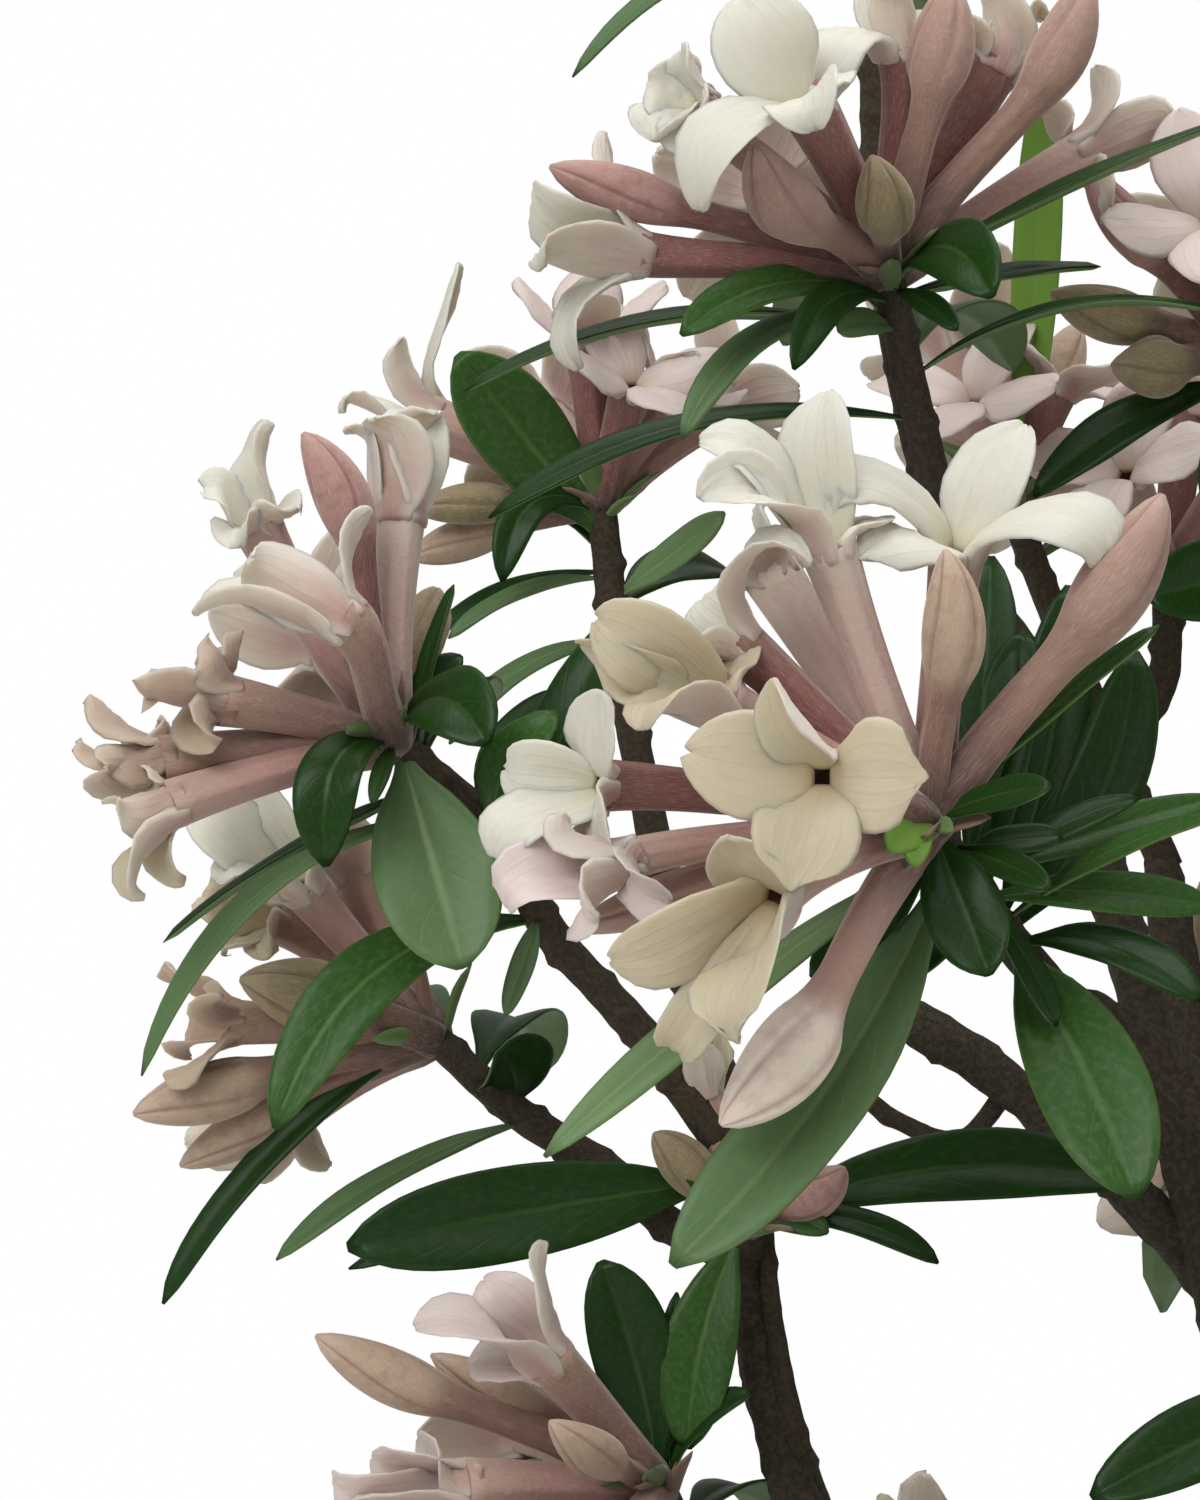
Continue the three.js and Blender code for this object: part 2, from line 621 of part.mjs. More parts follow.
// Shoots of a placed mass, with every offset turned into a point.
function placedMass(name) {
  const { tip } = boughEnd(name);
  const shoots = [];
  for (const { path, head, blooms, leaves } of PLACED[name]) {
    const [from, ...rest] = path;
    const first = from === "tip" ? tip : shoots[0].curve.getPoint(from);
    const top = vec(...head);
    const points = [first, ...rest.map((p) => vec(...p)), top];
    const curve = new THREE.CatmullRomCurve3(points);
    const length = curve.getLength();
    const off = ([right, up, near]) => top.clone().add(vec(right, -near, up));
    const turned = (roll) => vec(0, -Math.sin(radians(roll)), Math.cos(radians(roll)));
    shoots.push({
      points,
      curve,
      head: top,
      axis: curve.getTangent(1),
      blooms: blooms.map(([kind, right, up, near, ...rest]) => [kind, off([right, up, near]), ...rest]),
      leaves: leaves.map(([down, right, up, near, width, bow, roll]) => ({
        root: curve.getPointAt(Math.max(0, 1 - down / length)),
        tip: off([right, up, near]),
        width,
        bow,
        face: turned(roll),
      })),
    });
  }
  return shoots;
}

// One of a head's blooms or buds as a function of how much room is added round it.
function bloomMaker(shoot, [kind, end, spin, spread, girth]) {
  const root = shoot.head.clone().addScaledVector(shoot.axis, -ROOT_DEPTH);
  if (kind === BUD) return (extra) => budSolid({ root, tip: end, girth }, extra);
  return (extra) => bloomSolid({ root, mouth: end, spin, spread, girth }, extra);
}

function twigSolid(shoot, swell = 0) {
  const curve = new THREE.CatmullRomCurve3(shoot.points);
  const steps = Math.max(2, Math.round(curve.getLength() / TWIG_STEP));
  return limb(curve, TWIG_FOOT_RADIUS, TWIG_TIP_RADIUS, TWIG_SIDES, steps, swell);
}

// True if a piece's box and body meet none of the others.
function clearOf(piece, others) {
  const a = piece.boundingBox();
  return others.every(({ body, box }) => {
    for (let i = 0; i < 3; i++) if (a.min[i] > box.max[i] || a.max[i] < box.min[i]) return true;
    return piece.intersect(body).isEmpty();
  });
}

// A solid's surface with its corners on a fine grid and the faces that this closes up left out.
function geometryOf(body) {
  const mesh = body.getMesh();
  const onGrid = Float32Array.from(mesh.vertProperties, (x) => Math.round(x / GRID) * GRID);
  const geometry = new THREE.BufferGeometry();
  geometry.setAttribute("position", new THREE.BufferAttribute(onGrid, 3));
  geometry.setIndex(new THREE.BufferAttribute(mesh.triVerts, 1));
  const merged = mergeVertices(geometry, GRID);
  const faces = [];
  for (let i = 0; i < merged.index.count; i += 3) {
    const [a, b, c] = merged.index.array.slice(i, i + 3);
    if (a !== b && b !== c && c !== a) faces.push(a, b, c);
  }
  merged.setIndex(faces);
  return merged;
}

// True if no face of a surface is thinner than a sliver.
function isSound({ index, attributes }) {
  const face = new THREE.Triangle();
  for (let i = 0; i < index.count; i += 3) {
    face.setFromAttributeAndIndices(attributes.position, ...index.array.slice(i, i + 3));
    const longest = Math.max(face.a.distanceTo(face.b), face.b.distanceTo(face.c), face.c.distanceTo(face.a));
    if ((2 * face.getArea()) / longest < SLIVER) return false;
  }
  return true;
}

// True if every edge of a surface joins exactly two faces that turn the same way.
function isClosed({ index }) {
  const edges = new Set();
  const corners = index.array;
  const edge = (a, b) => a * 1e6 + b;
  for (let i = 0; i < corners.length; i++) {
    const next = i % 3 === 2 ? i - 2 : i + 1;
    const key = edge(corners[i], corners[next]);
    if (edges.has(key)) return false;
    edges.add(key);
  }
  return [...edges].every((key) => edges.has(edge(key % 1e6, Math.floor(key / 1e6))));
}

// The outer skin of the largest body: what fusing sealed is filled and loose scraps are dropped.
function largest(body) {
  const bodies = body.decompose();
  return bodies.reduce((best, one) => (one.volume() > best.volume() ? one : best));
}

// The body with one more piece fused on, a hair larger where that joins more cleanly, or as it was.
function fused(body, make) {
  for (const extra of [0, 0.02, 0.04, 0.07, 0.1]) {
    const joined = largest(body ? body.add(make(extra)) : make(extra));
    const skin = geometryOf(joined);
    if (isClosed(skin) && isSound(skin)) return joined;
  }
  return body;
}

const shrub = new THREE.Group();
shrub.name = "daphne_shrub";
const placed = []; // the bodies so far, each with its box
const limbs = new Map(); // trunk and boughs, each with the gap round it

function keep(name, body, colour, roughness) {
  placed.push({ body, box: body.boundingBox() });
  const geometry = geometryOf(body);
  geometry.computeVertexNormals();
  const look = { color: colour, roughness, metalness: 0, flatShading: true };
  const mesh = new THREE.Mesh(geometry, new THREE.MeshStandardMaterial(look));
  mesh.name = name;
  shrub.add(mesh);
}

function addTrunk() {
  limbs.set("trunk", trunkSolid(GAP));
  keep("trunk", trunkSolid(), BARK, 0.9);
}

// Each bough starts on the trunk's axis and is cut clear of the trunk and of the boughs before it.
function addBoughs() {
  for (const name of Object.keys(BOUGHS)) {
    const shape = (swell) =>
      limb(boughCurve(name), BOUGH_FOOT_RADIUS, BOUGH_TIP_RADIUS, BOUGH_SIDES, BOUGH_STEPS, swell);
    const body = [...limbs.values()].reduce((rest, other) => rest.subtract(other), shape(0));
    keep("bough_" + name, largest(body), BARK, 0.9);
    limbs.set(name, shape(GAP));
  }
}

// A grown mass's own space: round its bough's tip, off the ground and clear of the placed masses' side.
function grownSpace(name) {
  const { tip } = boughEnd(name);
  const [, reach] = GROWN[name];
  return (p) => p.distanceTo(tip) < reach && p.z > LOWEST_LEAF && (p.x > GROWN_LEFT || p.z < GROWN_LOW);
}

// Twigs come first, then each bloom and leaf that keeps clear of the other nodes and to the mass's own space.
function addMass(name, shoots, inSpace) {
  const twig = (shoot, extra) => largest(twigSolid(shoot, extra).subtract(limbs.get(name)));
  const clear = shoots.filter((shoot) => clearOf(twig(shoot, ELBOW_ROOM), placed));
  let body = null;
  for (const shoot of clear) body = fused(body, (extra) => twig(shoot, extra));
  for (const shoot of clear) {
    const blooms = shoot.blooms.map((bloom) => [bloom[1], bloomMaker(shoot, bloom)]);
    const leaves = shoot.leaves.map((leaf) => [leaf.tip, (extra) => leafSolid(leaf, extra)]);
    for (const [end, make] of [...blooms, ...leaves]) {
      if (inSpace(end) && clearOf(make(ELBOW_ROOM), placed)) body = fused(body, make);
    }
  }
  keep("mass_" + name, body, FOLIAGE, 0.6);
}

addTrunk();
addBoughs();
for (const name of Object.keys(PLACED)) addMass(name, placedMass(name), () => true);
Object.keys(GROWN).forEach((name, number) => addMass(name, grownMass(name, number), grownSpace(name)));

export default shrub;
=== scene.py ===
"""Dresses a young daphne shrub in flower: bark on the trunk and boughs, scarred twigs, thick glossy leaves,
and heads of four-lobed blooms with downy tubes, buds and bracts.

The limbs and masses follow the construction model's own rule and sizes, in millimetres, and every finished
mesh is written in metres. Run as a script, it builds everything; its panel is in the 3D view's sidebar.
"""

import math
from functools import lru_cache
from types import SimpleNamespace

import bpy
import numpy as np
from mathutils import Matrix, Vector, noise


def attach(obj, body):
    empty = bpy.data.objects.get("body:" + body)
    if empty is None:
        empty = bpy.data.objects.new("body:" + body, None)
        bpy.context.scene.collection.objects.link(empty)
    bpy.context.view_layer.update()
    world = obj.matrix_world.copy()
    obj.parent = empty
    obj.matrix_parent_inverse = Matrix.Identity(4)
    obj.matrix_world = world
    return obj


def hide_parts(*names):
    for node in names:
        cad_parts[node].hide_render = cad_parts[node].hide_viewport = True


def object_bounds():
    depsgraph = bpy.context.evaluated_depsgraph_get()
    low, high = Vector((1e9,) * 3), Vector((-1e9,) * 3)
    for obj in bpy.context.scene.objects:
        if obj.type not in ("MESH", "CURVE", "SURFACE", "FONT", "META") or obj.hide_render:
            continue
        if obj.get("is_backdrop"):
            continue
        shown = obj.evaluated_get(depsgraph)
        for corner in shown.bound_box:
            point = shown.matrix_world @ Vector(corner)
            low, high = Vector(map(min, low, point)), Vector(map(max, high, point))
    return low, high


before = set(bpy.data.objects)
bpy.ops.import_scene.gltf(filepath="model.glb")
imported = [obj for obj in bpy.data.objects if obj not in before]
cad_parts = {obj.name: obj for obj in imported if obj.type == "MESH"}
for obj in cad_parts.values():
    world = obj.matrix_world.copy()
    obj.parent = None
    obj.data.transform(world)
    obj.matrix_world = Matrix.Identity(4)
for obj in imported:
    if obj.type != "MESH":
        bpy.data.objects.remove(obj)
CAD_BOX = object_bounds()

bl_info = {
    "name": "Daphne Shrub",
    "version": (1, 0, 0),
    "blender": (4, 5, 0),
    "location": "View3D > Sidebar > Daphne",
    "description": "Builds the bark, twigs, leaves and blooms of a young daphne shrub",
    "category": "Object",
}

MM = 0.001
MAP_NAME = "along_across"
ROOT_BODY = "root"

# The construction model's driving sizes, in millimetres and degrees.
TRUNK_HEIGHT = 30
TRUNK_LEAN = np.array((1.5, 0.5, TRUNK_HEIGHT))
TRUNK_PROFILE = ((0, 9.6), (0.1, 8), (0.3, 6.9), (0.7, 6.3), (0.93, 6.6), (1, 4.6))
BOUGH_FOOT_RADIUS = 2.7
BOUGH_TIP_RADIUS = 1.5
ROOT_DEPTH = 1.2  # how far below a shoot's tip its blooms are rooted
TUBE_LENGTH = 15
BUD_LENGTH = 20
BUD_NECK = 0.5
LEAF_LENGTH = 27
LOWEST_LEAF = 4
GOLDEN_ANGLE = 137.5
LIMB_GAP = 0.5  # how far a grown leaf stays off a bough that isn't its own
GROWN_LEFT = -4
GROWN_LOW = 72
SHOOT_LENGTH = 21
CROWN_SHOOT_LENGTH = 25
SHOOT_OUTWARD, SHOOT_SIDEWARD = 0.3, 1.05  # how a grown shoot leaves its bough's own way
SHOOT_RISE = 0.35  # how much of straight up is in its second half
BLOOMS_A_HEAD = 8
BUD_CHANCE = 0.3
TOP_TILT, TILT_RANGE = 12, 70  # how far a head's blooms tilt from its axis, in degrees
LEAVES_A_HEAD = 12
LEAF_DROOP = 0.12  # how far a grown leaf hangs, as a share of its length

UP = np.array((0.0, 0.0, 1.0))
FRONTWARD = np.array((0.0, -1.0, 0.0))
OPEN = "open"
BUD = "bud"
OLD = "old"

# Boughs: where each leaves the trunk (height), its two handles and its tip.
BOUGHS = {
    "left": [24, [-22, -4, 46], [-36.5, -8, 70], [-38.9, -10, 95]],
    "back_left": [24, [-21, 6, 48], [-39.5, 10, 74], [-39, 8, 103]],
    "low_left": [17, [-16, -6, 34], [-38, -13, 52], [-42.2, -14, 74.5]],
    "centre": [26, [7, -5, 72], [6, -18, 102], [-18.8, -25, 113.6]],
    "stub": [26, [9, 6, 66], [6, 6, 90], [-27.4, 4, 111.3]],
    "top": [27, [3, 5, 72], [-10, 4, 108], [-16.6, 3, 133.5]],
    "right_top": [28, [8, 0, 70], [6, 2, 100], [3, 1, 130]],
    "far": [27, [0, 16, 60], [-2, 32, 95], [-6, 38, 122]],
    "inner": [20, [7, -9, 44], [5, -23, 58], [3, -27, 78]],
    "right_front": [22, [18, -12, 48], [42, -28, 70], [46, -34, 100]],
    "right": [22, [22, 2, 46], [50, 12, 64], [55, 15, 88]],
    "right_back": [22, [12, 16, 48], [29, 44, 74], [32, 48, 106]],
    "back": [22, [0, 18, 48], [6, 48, 66], [9, 58, 90]],
    "front": [22, [8, -18, 44], [19, -46, 60], [22, -55, 82]],
    "crown_front": [29, [8, -8, 76], [14, -20, 110], [16, -26, 146]],
    "crown_right": [29, [20, 2, 70], [40, 4, 104], [42, 5, 140]],
    "crown_back": [29, [10, 10, 76], [17, 28, 110], [20, 34, 150]],
    "low_front": [12, [-4, -16, 24], [-12, -38, 28], [-15, -48, 40]],
    "low_right_front": [13, [14, -12, 26], [36, -32, 30], [43, -40, 44]],
    "low_right": [12, [18, 4, 24], [42, 16, 28], [53, 20, 40]],
    "low_back": [13, [8, 16, 26], [16, 44, 30], [20, 55, 43]],
    "low_left_back": [12, [-12, 14, 24], [-28, 36, 26], [-35, 44, 38]],
    "low_left_side": [11, [-18, 0, 22], [-42, 2, 26], [-54, 4, 36]],
}

# The finishes of leaves that are given one by one.
# leaf_deep is partly a darker green and partly painted shade, kept dark for the listed leaves that lie in
# shade.
DEEP_AND_SHADE, GREEN, GREY, LIGHT, YOUNG = "leaf_deep", "leaf_green", "leaf_grey", "leaf_light", "leaf_young"

# Masses listed shoot by shoot. Every offset goes to the right, up and to the front.
# A path starts with "tip" for its bough's tip, or with a share along the mass's first shoot. Points
# follow, and the last of them is the shoot's head.
# A bloom has its kind, its end's offset from the head, the turn and spread of its lobes, and its girth.
# Set apart from its kind, it also has the finishes of its lobes' faces, lobes' backs and tube, the way
# its mouth faces where its tube bends to it, and its four lobes where these are listed. A lobe has
# its tip's offset from the mouth, its breadth, how far its rims rise, the angle at which it ends, its
# twist, and how deep its tip is notched (below 0: cut square).
# A bud has its end's offset and its girth. Set apart, it also has its finish, the share of its length at
# which its body starts, how thick it is against its kind, and the way its tip points where it bends to it.
# A leaf has how far below the head it leaves the shoot, its tip's offset from the head, how far its middle
# arches, its width, the turn of its face from straight up (0) to the front (90), and its finish. A leaf of
# seven numbers ends with its width, its bow and that turn, and has a finish of chance.
PLACED = {
    "left": [
        {
            "path": [
                "tip", [-39.2, -12, 100], [-45.5, -14, 110], [-52.5, -16, 118], [-55.5, -19, 124],
                [-63.2, -22, 131],
            ],
            "blooms": [
                [OLD, -8.6, 14.2, 0, 20, 62, 0.9, "white cream pink", [-3, 7, 4],
                 [1, 6.5, 0, 4.6, 0.5, -35, 20, 0], [-3.5, 2, 0, 4.4, 0.4, 15, 0, 0.05],
                 [3, 0.5, 2, 4, 0.6, 10, 30, 0], [-1, -2, 3, 3.4, 0.7, 60, 0, 0]],
                [BUD, -5.3, 19.8, 3, 0.95, "bud_rose", 0.62, 1, [-6, 7, 1]],
                [OPEN, 1, 14.9, -3, 10, 26, 0.8, "white blush pale", None,
                 [-2, 6, 2, 5.8, 0.3, 0, 0, 0], [2.5, 6.5, 0, 5.4, 0.2, 10, 0, 0],
                 [0.5, 6.5, -3, 5.2, 0.2, 0, 0, 0], [-4, 5.5, -2, 5, 0.2, 10, 0, 0]],
                [OPEN, -2.6, 7.6, 10, 40, 62, 1, "white blush brown", [-8, 4, 1],
                 [-9.2, 0, 2, 5, 0.5, -15, 0, 0], [-5.5, 3.5, 3, 5, 0.5, -30, 0, 0],
                 [2, 7, -1, 4.8, 0.2, 10, 30, 0], [-7, 2.5, -3, 4.8, 0.4, -10, 0, 0]],
                [OLD, -10.6, 2.3, 4, 0, 60, 0.75, "old old brown", None,
                 [-1, 4, 1, 4.4, 0.8, -60, 30, 0], [-4, 0, 2, 4.2, 0.8, 80, 60, 0],
                 [1, 4.5, -1, 4, 0.7, -20, 20, 0], [0, -3, 2, 4, 0.8, 60, 0, 0]],
                [OLD, -14.5, -2, 2, 30, 40, 1, "old old brown", None,
                 [-5, 4.5, 0, 4, 0.5, -40, 20, 0], [-5.5, 1.5, 2, 4.2, 0.5, -30, -20, 0],
                 [-3.5, 0, 4, 4, 0.8, 0, 30, 0], [-0.5, 3, -2, 3.6, 0.7, -50, 0, 0]],
                [OPEN, -13.9, -4.6, 5, 20, 50, 0.7, "cream blush pink", None,
                 [-1.5, -6, 1, 4, 0.5, 50, 0, 0], [1, -5, -1, 3, 0.4, 60, 40, 0],
                 [-3, 0.5, 3, 3.4, 0.8, 10, 0, 0], [-1.5, 2.5, -2, 3.4, 0.6, 0, 0, 0]],
                [BUD, 3, 10, -12, 0.9],
                [OPEN, -4, 6, -12, 10, 70, 1, "pink blush pink", None],
            ],
            "leaves": [
                [1.5, 5.3, -15.2, 7, 0, 7.6, 84, GREY], [1.2, -3.6, -8.6, 6, 4.2, 4.2, 35, DEEP_AND_SHADE],
                [0.8, 7, -0.7, 8, 3, 5, 50, DEEP_AND_SHADE], [1, 5, 5.3, -3, 0.3, 2.6, 60, DEEP_AND_SHADE],
                [8, -16, -22.5, 1, 4.4, 2.8, 25, GREY], [5, -15, -13.9, -4, 1, 2.2, 20, DEEP_AND_SHADE],
                [17.5, -7, -25.8, 4, 4, 4.8, 58, GREEN],
                [16, 17, 9, -4, 4.6, 3, 25], [12, 11.5, 1.5, 2, 4.4, 3, 40],
                [3, 6, 2, -20, 5.5, 3, 0], [6, -12, -4, -20, 5.5, 4, 0],
                [0.5, -1.5, 8, 2, 0.5, 2, 70, DEEP_AND_SHADE], [1, -0.5, -4.5, 9, 0.5, 1.2, 50, DEEP_AND_SHADE],
                [2, 4.5, 10, -2, 0.5, 1.4, 30, DEEP_AND_SHADE], [17, 8, -18.5, 2, 0.5, 1.6, 45, GREY],
                [40, -2.8, -34.4, -6, 0.2, 6, 80, DEEP_AND_SHADE],
            ],
        },
        {
            "path": [0.02, [-43.6, -10.5, 97.3], [-49, -8, 101.5], [-54.3, -5, 104.7], [-61.2, -2, 110.5]],
            "blooms": [
                [OPEN, -8.7, 10.4, 2, 20, 66, 0.9, "white cream pink", [-4, 5, 6],
                 [-7.6, 5, 1, 5.6, 0.2, 10, 0, 0], [-2.5, 7, 0, 5, 0.2, 10, 20, 0],
                 [2.6, 6, -1, 4.8, 0.2, 20, 0, 0], [-5.5, 0, 3, 4.6, 0.3, 30, 0, 0]],
                [OPEN, -5, 10.8, -5, 45, 60, 0.9, "pink blush pink", None],
                [OLD, -11, 7.7, -2, 0, 40, 0.8, "cream blush pink", [-6, 2, 4],
                 [-4.5, 1.5, 1, 4.4, 0.3, 30, 0, 0], [-1.5, 3.5, 0, 4, 0.3, 20, 30, 0],
                 [0.5, -2.5, 3, 4, 0.4, 50, 0, 0], [-3, -2.5, 0, 4.2, 0.3, 40, 0, 0]],
                [BUD, -12.5, 3.8, 6, 1.15, "bud_olive", 0.34, 1.05, [-9, 2, 2]],
                [OLD, -13.6, 0.7, 3, 30, 40, 0.7],
                [BUD, -20, -5.6, 4, 1, "bud_tan", 0.56, 0.96, [-9, -2.5, 1]],
                [BUD, -17, -9.4, 1, 0.95, "bud_tan", 0.56, 0.92, [-8, -4, 1]],
                [OPEN, -9.4, -6, -6, 30, 66, 0.9, "white blush pink", None,
                 [-7.5, -2.5, 1, 5, 0.2, 10, 0, 0], [-3, -4, 3, 4.8, 0.2, 30, 0, 0],
                 [2.5, -4, 0, 4.6, 0.2, 40, 0, 0], [-3, 3, -2, 4.4, 0.2, 20, 0, 0]],
            ],
            "leaves": [
                [0.8, -18, -18.8, 3, 2.4, 2.6, 45, DEEP_AND_SHADE], [8.5, 5, -1.4, 5, 1.2, 5.6, 72, DEEP_AND_SHADE],
                [10, -10, -15.5, 6, 1.4, 2.6, 32, GREY], [16.5, -5, -16, 7, -0.3, 1.6, 70, DEEP_AND_SHADE],
                [3, -6, -2, -19, 5.6, 4, 0], [5, 8, -4, -18, 5.6, 4, 0],
            ],
        },
        {
            "path": [0.06, [-39.6, -13.4, 97.2], [-39.2, -13.8, 98.6]],
            "blooms": [
                [OPEN, -2.9, 8.6, -1, 30, 22, 0.5],
                [BUD, -6.2, 5.6, 1, 0.9, "bud_olive", 0.4, 0.9, None],
                [BUD, 6.6, 3.4, 3, 1, "bud_rose", 0.35, 0.9, [4, 5, 3]],
            ],
            "leaves": [
                [0.6, -3.9, -15.6, 2, 0.6, 4.6, 80, GREEN], [0.4, 13, -3.2, 1, 1.8, 2.4, 45, DEEP_AND_SHADE],
                [0.8, 27, 2, -3, 2.4, 4.8, 66, DEEP_AND_SHADE],
                [0.5, 5.5, -1, 3, 0.5, 2.2, 70, GREEN], [0.5, -4, 2.5, 2, 0.6, 1.8, 60, DEEP_AND_SHADE],
            ],
        },
    ],
    "low_left": [
        {
            "path": ["tip", [-45.3, -15, 80.9]],
            "blooms": [
                [OPEN, -7.4, 9, 6, 30, 58, 1, "pink blush brown", None,
                 [-8.5, 2, 2, 5.2, 0.2, 10, 0, 0], [-4, 5, 0, 5.2, 0.2, 5, 0, 0],
                 [0, 7.5, -1, 4.4, 0.4, -20, 60, 0], [-5, -1, -2, 4.6, 0.1, 20, 0, 0]],
                [BUD, -22.7, 10, 3, 0.98, "bud_tan", 0.62, 0.95, [-8, 5, 1]],
                [BUD, -15.1, 8.4, 0, 0.9, "bud_tan", 0.5, 0.85, [-7, 4, 0.5]],
                [BUD, -7, 5, 9, 0.9, "bud_tan", 0.4, 0.8, [-5, 5, 3]],
                [OPEN, -12.8, 0, 4, 20, 50, 0.95, "pink blush pink", None,
                 [-8.5, 1, 1, 5, 0.2, 10, 0, 0], [-6, 2, -1, 5, 0.2, 5, 0, 0],
                 [-3, 3, -3, 4.6, 0.2, 0, 0, 0], [-7, -1.5, 2, 4.6, 0.3, 30, 0, 0]],
                [OPEN, -4, -6, 13, 20, 70, 1],
                [BUD, -14, -8, -3, 1],
                [OPEN, -9, 2, -12, 0, 70, 1],
            ],
            "leaves": [
                [0.6, -3.7, 14.8, 1, 0.5, 5.4, 82, DEEP_AND_SHADE], [1.5, 6.5, 6, 2, 1.4, 2.6, 40, DEEP_AND_SHADE],
                [2, 14, -14, 8, 5.6, 3, 40], [3, -18, -12, 6, 5.6, 4, 30], [4, 0, -16, 14, 5.8, 3, 60],
                [3, -12, -6, -20, 5.6, 4, 0], [4, 10, -8, -18, 5.6, 4, 0],
                [1, 1.5, 12.5, -1, 0.4, 1.8, 70, DEEP_AND_SHADE],
            ],
        },
    ],
    "centre": [
        {
            "path": ["tip", [-24, -31, 119.6], [-28.5, -38, 125.9]],
            "blooms": [
                [OPEN, -6.3, 17.1, 3, 20, 48, 1, "white cream pale", [-3, 8, 4],
                 [-8, 6.3, 1, 5.8, 0.15, 5, 10, 0], [0.2, 9.6, -2, 5.6, 0.15, -10, 0, 0],
                 [-8, 2.5, 4, 4.6, 0.5, 30, 60, 0], [3.5, 1.5, -4, 5, 0, 40, 0, 0]],
                [OPEN, -9.5, 15.4, -5, 0, 50, 0.9, "white blush pale", None,
                 [-1.5, 1, 3, 4.4, 0.2, 30, 0, 0], [0, 5, -2, 4.6, 0, 20, 0, 0],
                 [-2.5, -1, 1, 4, 0.3, 50, 0, 0], [2, 3.5, -5, 4.5, 0, 20, 0, 0]],
                [OPEN, -12, 11, 2, 45, 40, 0.9, "white cream mauve", None,
                 [4.5, 4.5, 5, 4, 0.35, 110, 10, 0], [-2.5, -1.5, 3, 3.6, 0.4, 40, 0, 0],
                 [-2, 2.5, -3, 4.4, 0, 20, 0, 0], [-4, 0, -4, 4.4, 0, 20, 0, 0]],
                [OPEN, 2.2, 17, -1.5, 35, 84, 1, "white cream pink", [0.5, 8, 5.5],
                 [-8.3, 1.6, 3, 5, -0.1, 110, 25, 0], [-6.5, -1, 5, 5.4, -0.2, 45, 20, -0.05],
                 [4.5, 8, -3, 5.6, 0.15, -15, 0, 0], [8.7, -2, 4, 5.6, -0.1, 108, -30, 0]],
                [OPEN, -7, 2.5, 12, 15, 86, 1, "cream cream mauve", [-1, 0.5, 8],
                 [-8.5, 1.5, 1, 6.8, 0.05, 10, 0, 0.07], [-3, 6, 3, 4, 0.9, -10, 55, 0],
                 [6.5, 0, 2, 7.2, 0.05, 20, 0, -0.12], [-2, -7, 2, 6.8, 0.1, 15, 14, -0.08]],
                [OPEN, -13.3, 7.3, 5, 10, 66, 0.95, "cream cream pink", [-6, 4, 6],
                 [-7.5, 5, 1, 5.8, 0.15, 10, 10, 0.04], [-8.5, 3.5, -1, 4, 0.5, 0, 65, 0],
                 [-4.5, -2, 5, 5.4, 0.2, 25, 0, 0], [1.5, 3.5, -4, 4.6, 0, 20, 0, 0]],
                [OPEN, -21, 1.9, 2, 20, 50, 0.9, "white blush mauve", [-6, 0, 5],
                 [0.5, 6, 1, 6, 0.15, 0, 0, 0], [-6, -4.6, 2, 6.6, 0.1, 15, 0, 0],
                 [-5.5, 1, -3, 4.6, 0.2, 20, 0, 0], [1.5, -5, 3, 4.6, 0.3, 50, 0, 0]],
                [OLD, -19, -2.8, 5, 0, 40, 0.5, "pink blush pink", [-7, -2, 3],
                 [-7, -3, 2, 5, 0.3, 20, 20, 0], [-1.5, -3.5, 4, 4.8, 0.4, 60, 0, 0],
                 [-4, 3, 1, 5, 0.4, 10, 40, 0], [3, -2.5, 3, 4, 0.5, 60, 0, 0]],
                [BUD, -22.4, -7.3, 1, 0.7, "bud_pink", 0.5, 1, None],
                [OPEN, -10, -5.2, 10, 50, 84, 1, "cream cream pink", [-4, -5, 7],
                 [-3, 4, 3, 6, 0.35, -45, 0, 0], [-10, -3.5, 1, 5.6, 0.05, 15, 0, 0.03],
                 [-2, -8.5, 5, 6.8, 0.2, 20, 0, -0.14], [-5.5, -9, -3, 3.6, 0.3, 70, 0, 0]],
                [BUD, 1, 16.6, 5, 0.95, "bud_tan", 0.5, 0.95, [-2, 9, 1]],
                [BUD, 14.9, 20.2, 2, 1.1, "bud_pink", 0.58, 1.1, [3.5, 9, 0.5]],
                [BUD, -13, -19.2, 6, 1.1, "bud_pale", 0.57, 1.05, [-7.5, -6, 2]],
            ],
            "leaves": [
                [4.5, -16, -28, 6, -1.6, 6.4, 60, GREY], [3.5, -24, -21.5, 2, 1, 2.9, 55, LIGHT],
                [1.6, 3.8, -10, 5, 0.3, 4.8, 84, DEEP_AND_SHADE], [3.5, 7.6, -4.6, 5, 0.4, 2.2, 55, DEEP_AND_SHADE],
                [0.8, 7.6, 1.8, 6, 0.3, 2.4, 50, DEEP_AND_SHADE], [0.8, 15, 12, -1, 0.4, 1.9, 40, GREEN],
                [13, 14.5, 10.6, -12, -2.3, 4.8, 80, DEEP_AND_SHADE], [13.5, 13, -24, 4, 1, 6.7, 80, GREEN],
                [12, 18.5, 0, 2, 0.8, 1.9, 40, GREEN], [2.4, -7, -10.5, -4, 0, 3.6, 70, DEEP_AND_SHADE],
                [9, -1, -10.6, -2, 0.5, 2.4, 40, DEEP_AND_SHADE],
                [9, 8.5, -13.5, -2, 0.5, 2, 35, DEEP_AND_SHADE], [9, 19, -6, -6, 0.8, 3, 60, GREEN],
                [7, 19.5, 1, -8, 0.5, 2.4, 60, GREEN], [5, 9, -1.5, -3, 0.4, 2.4, 50, DEEP_AND_SHADE],
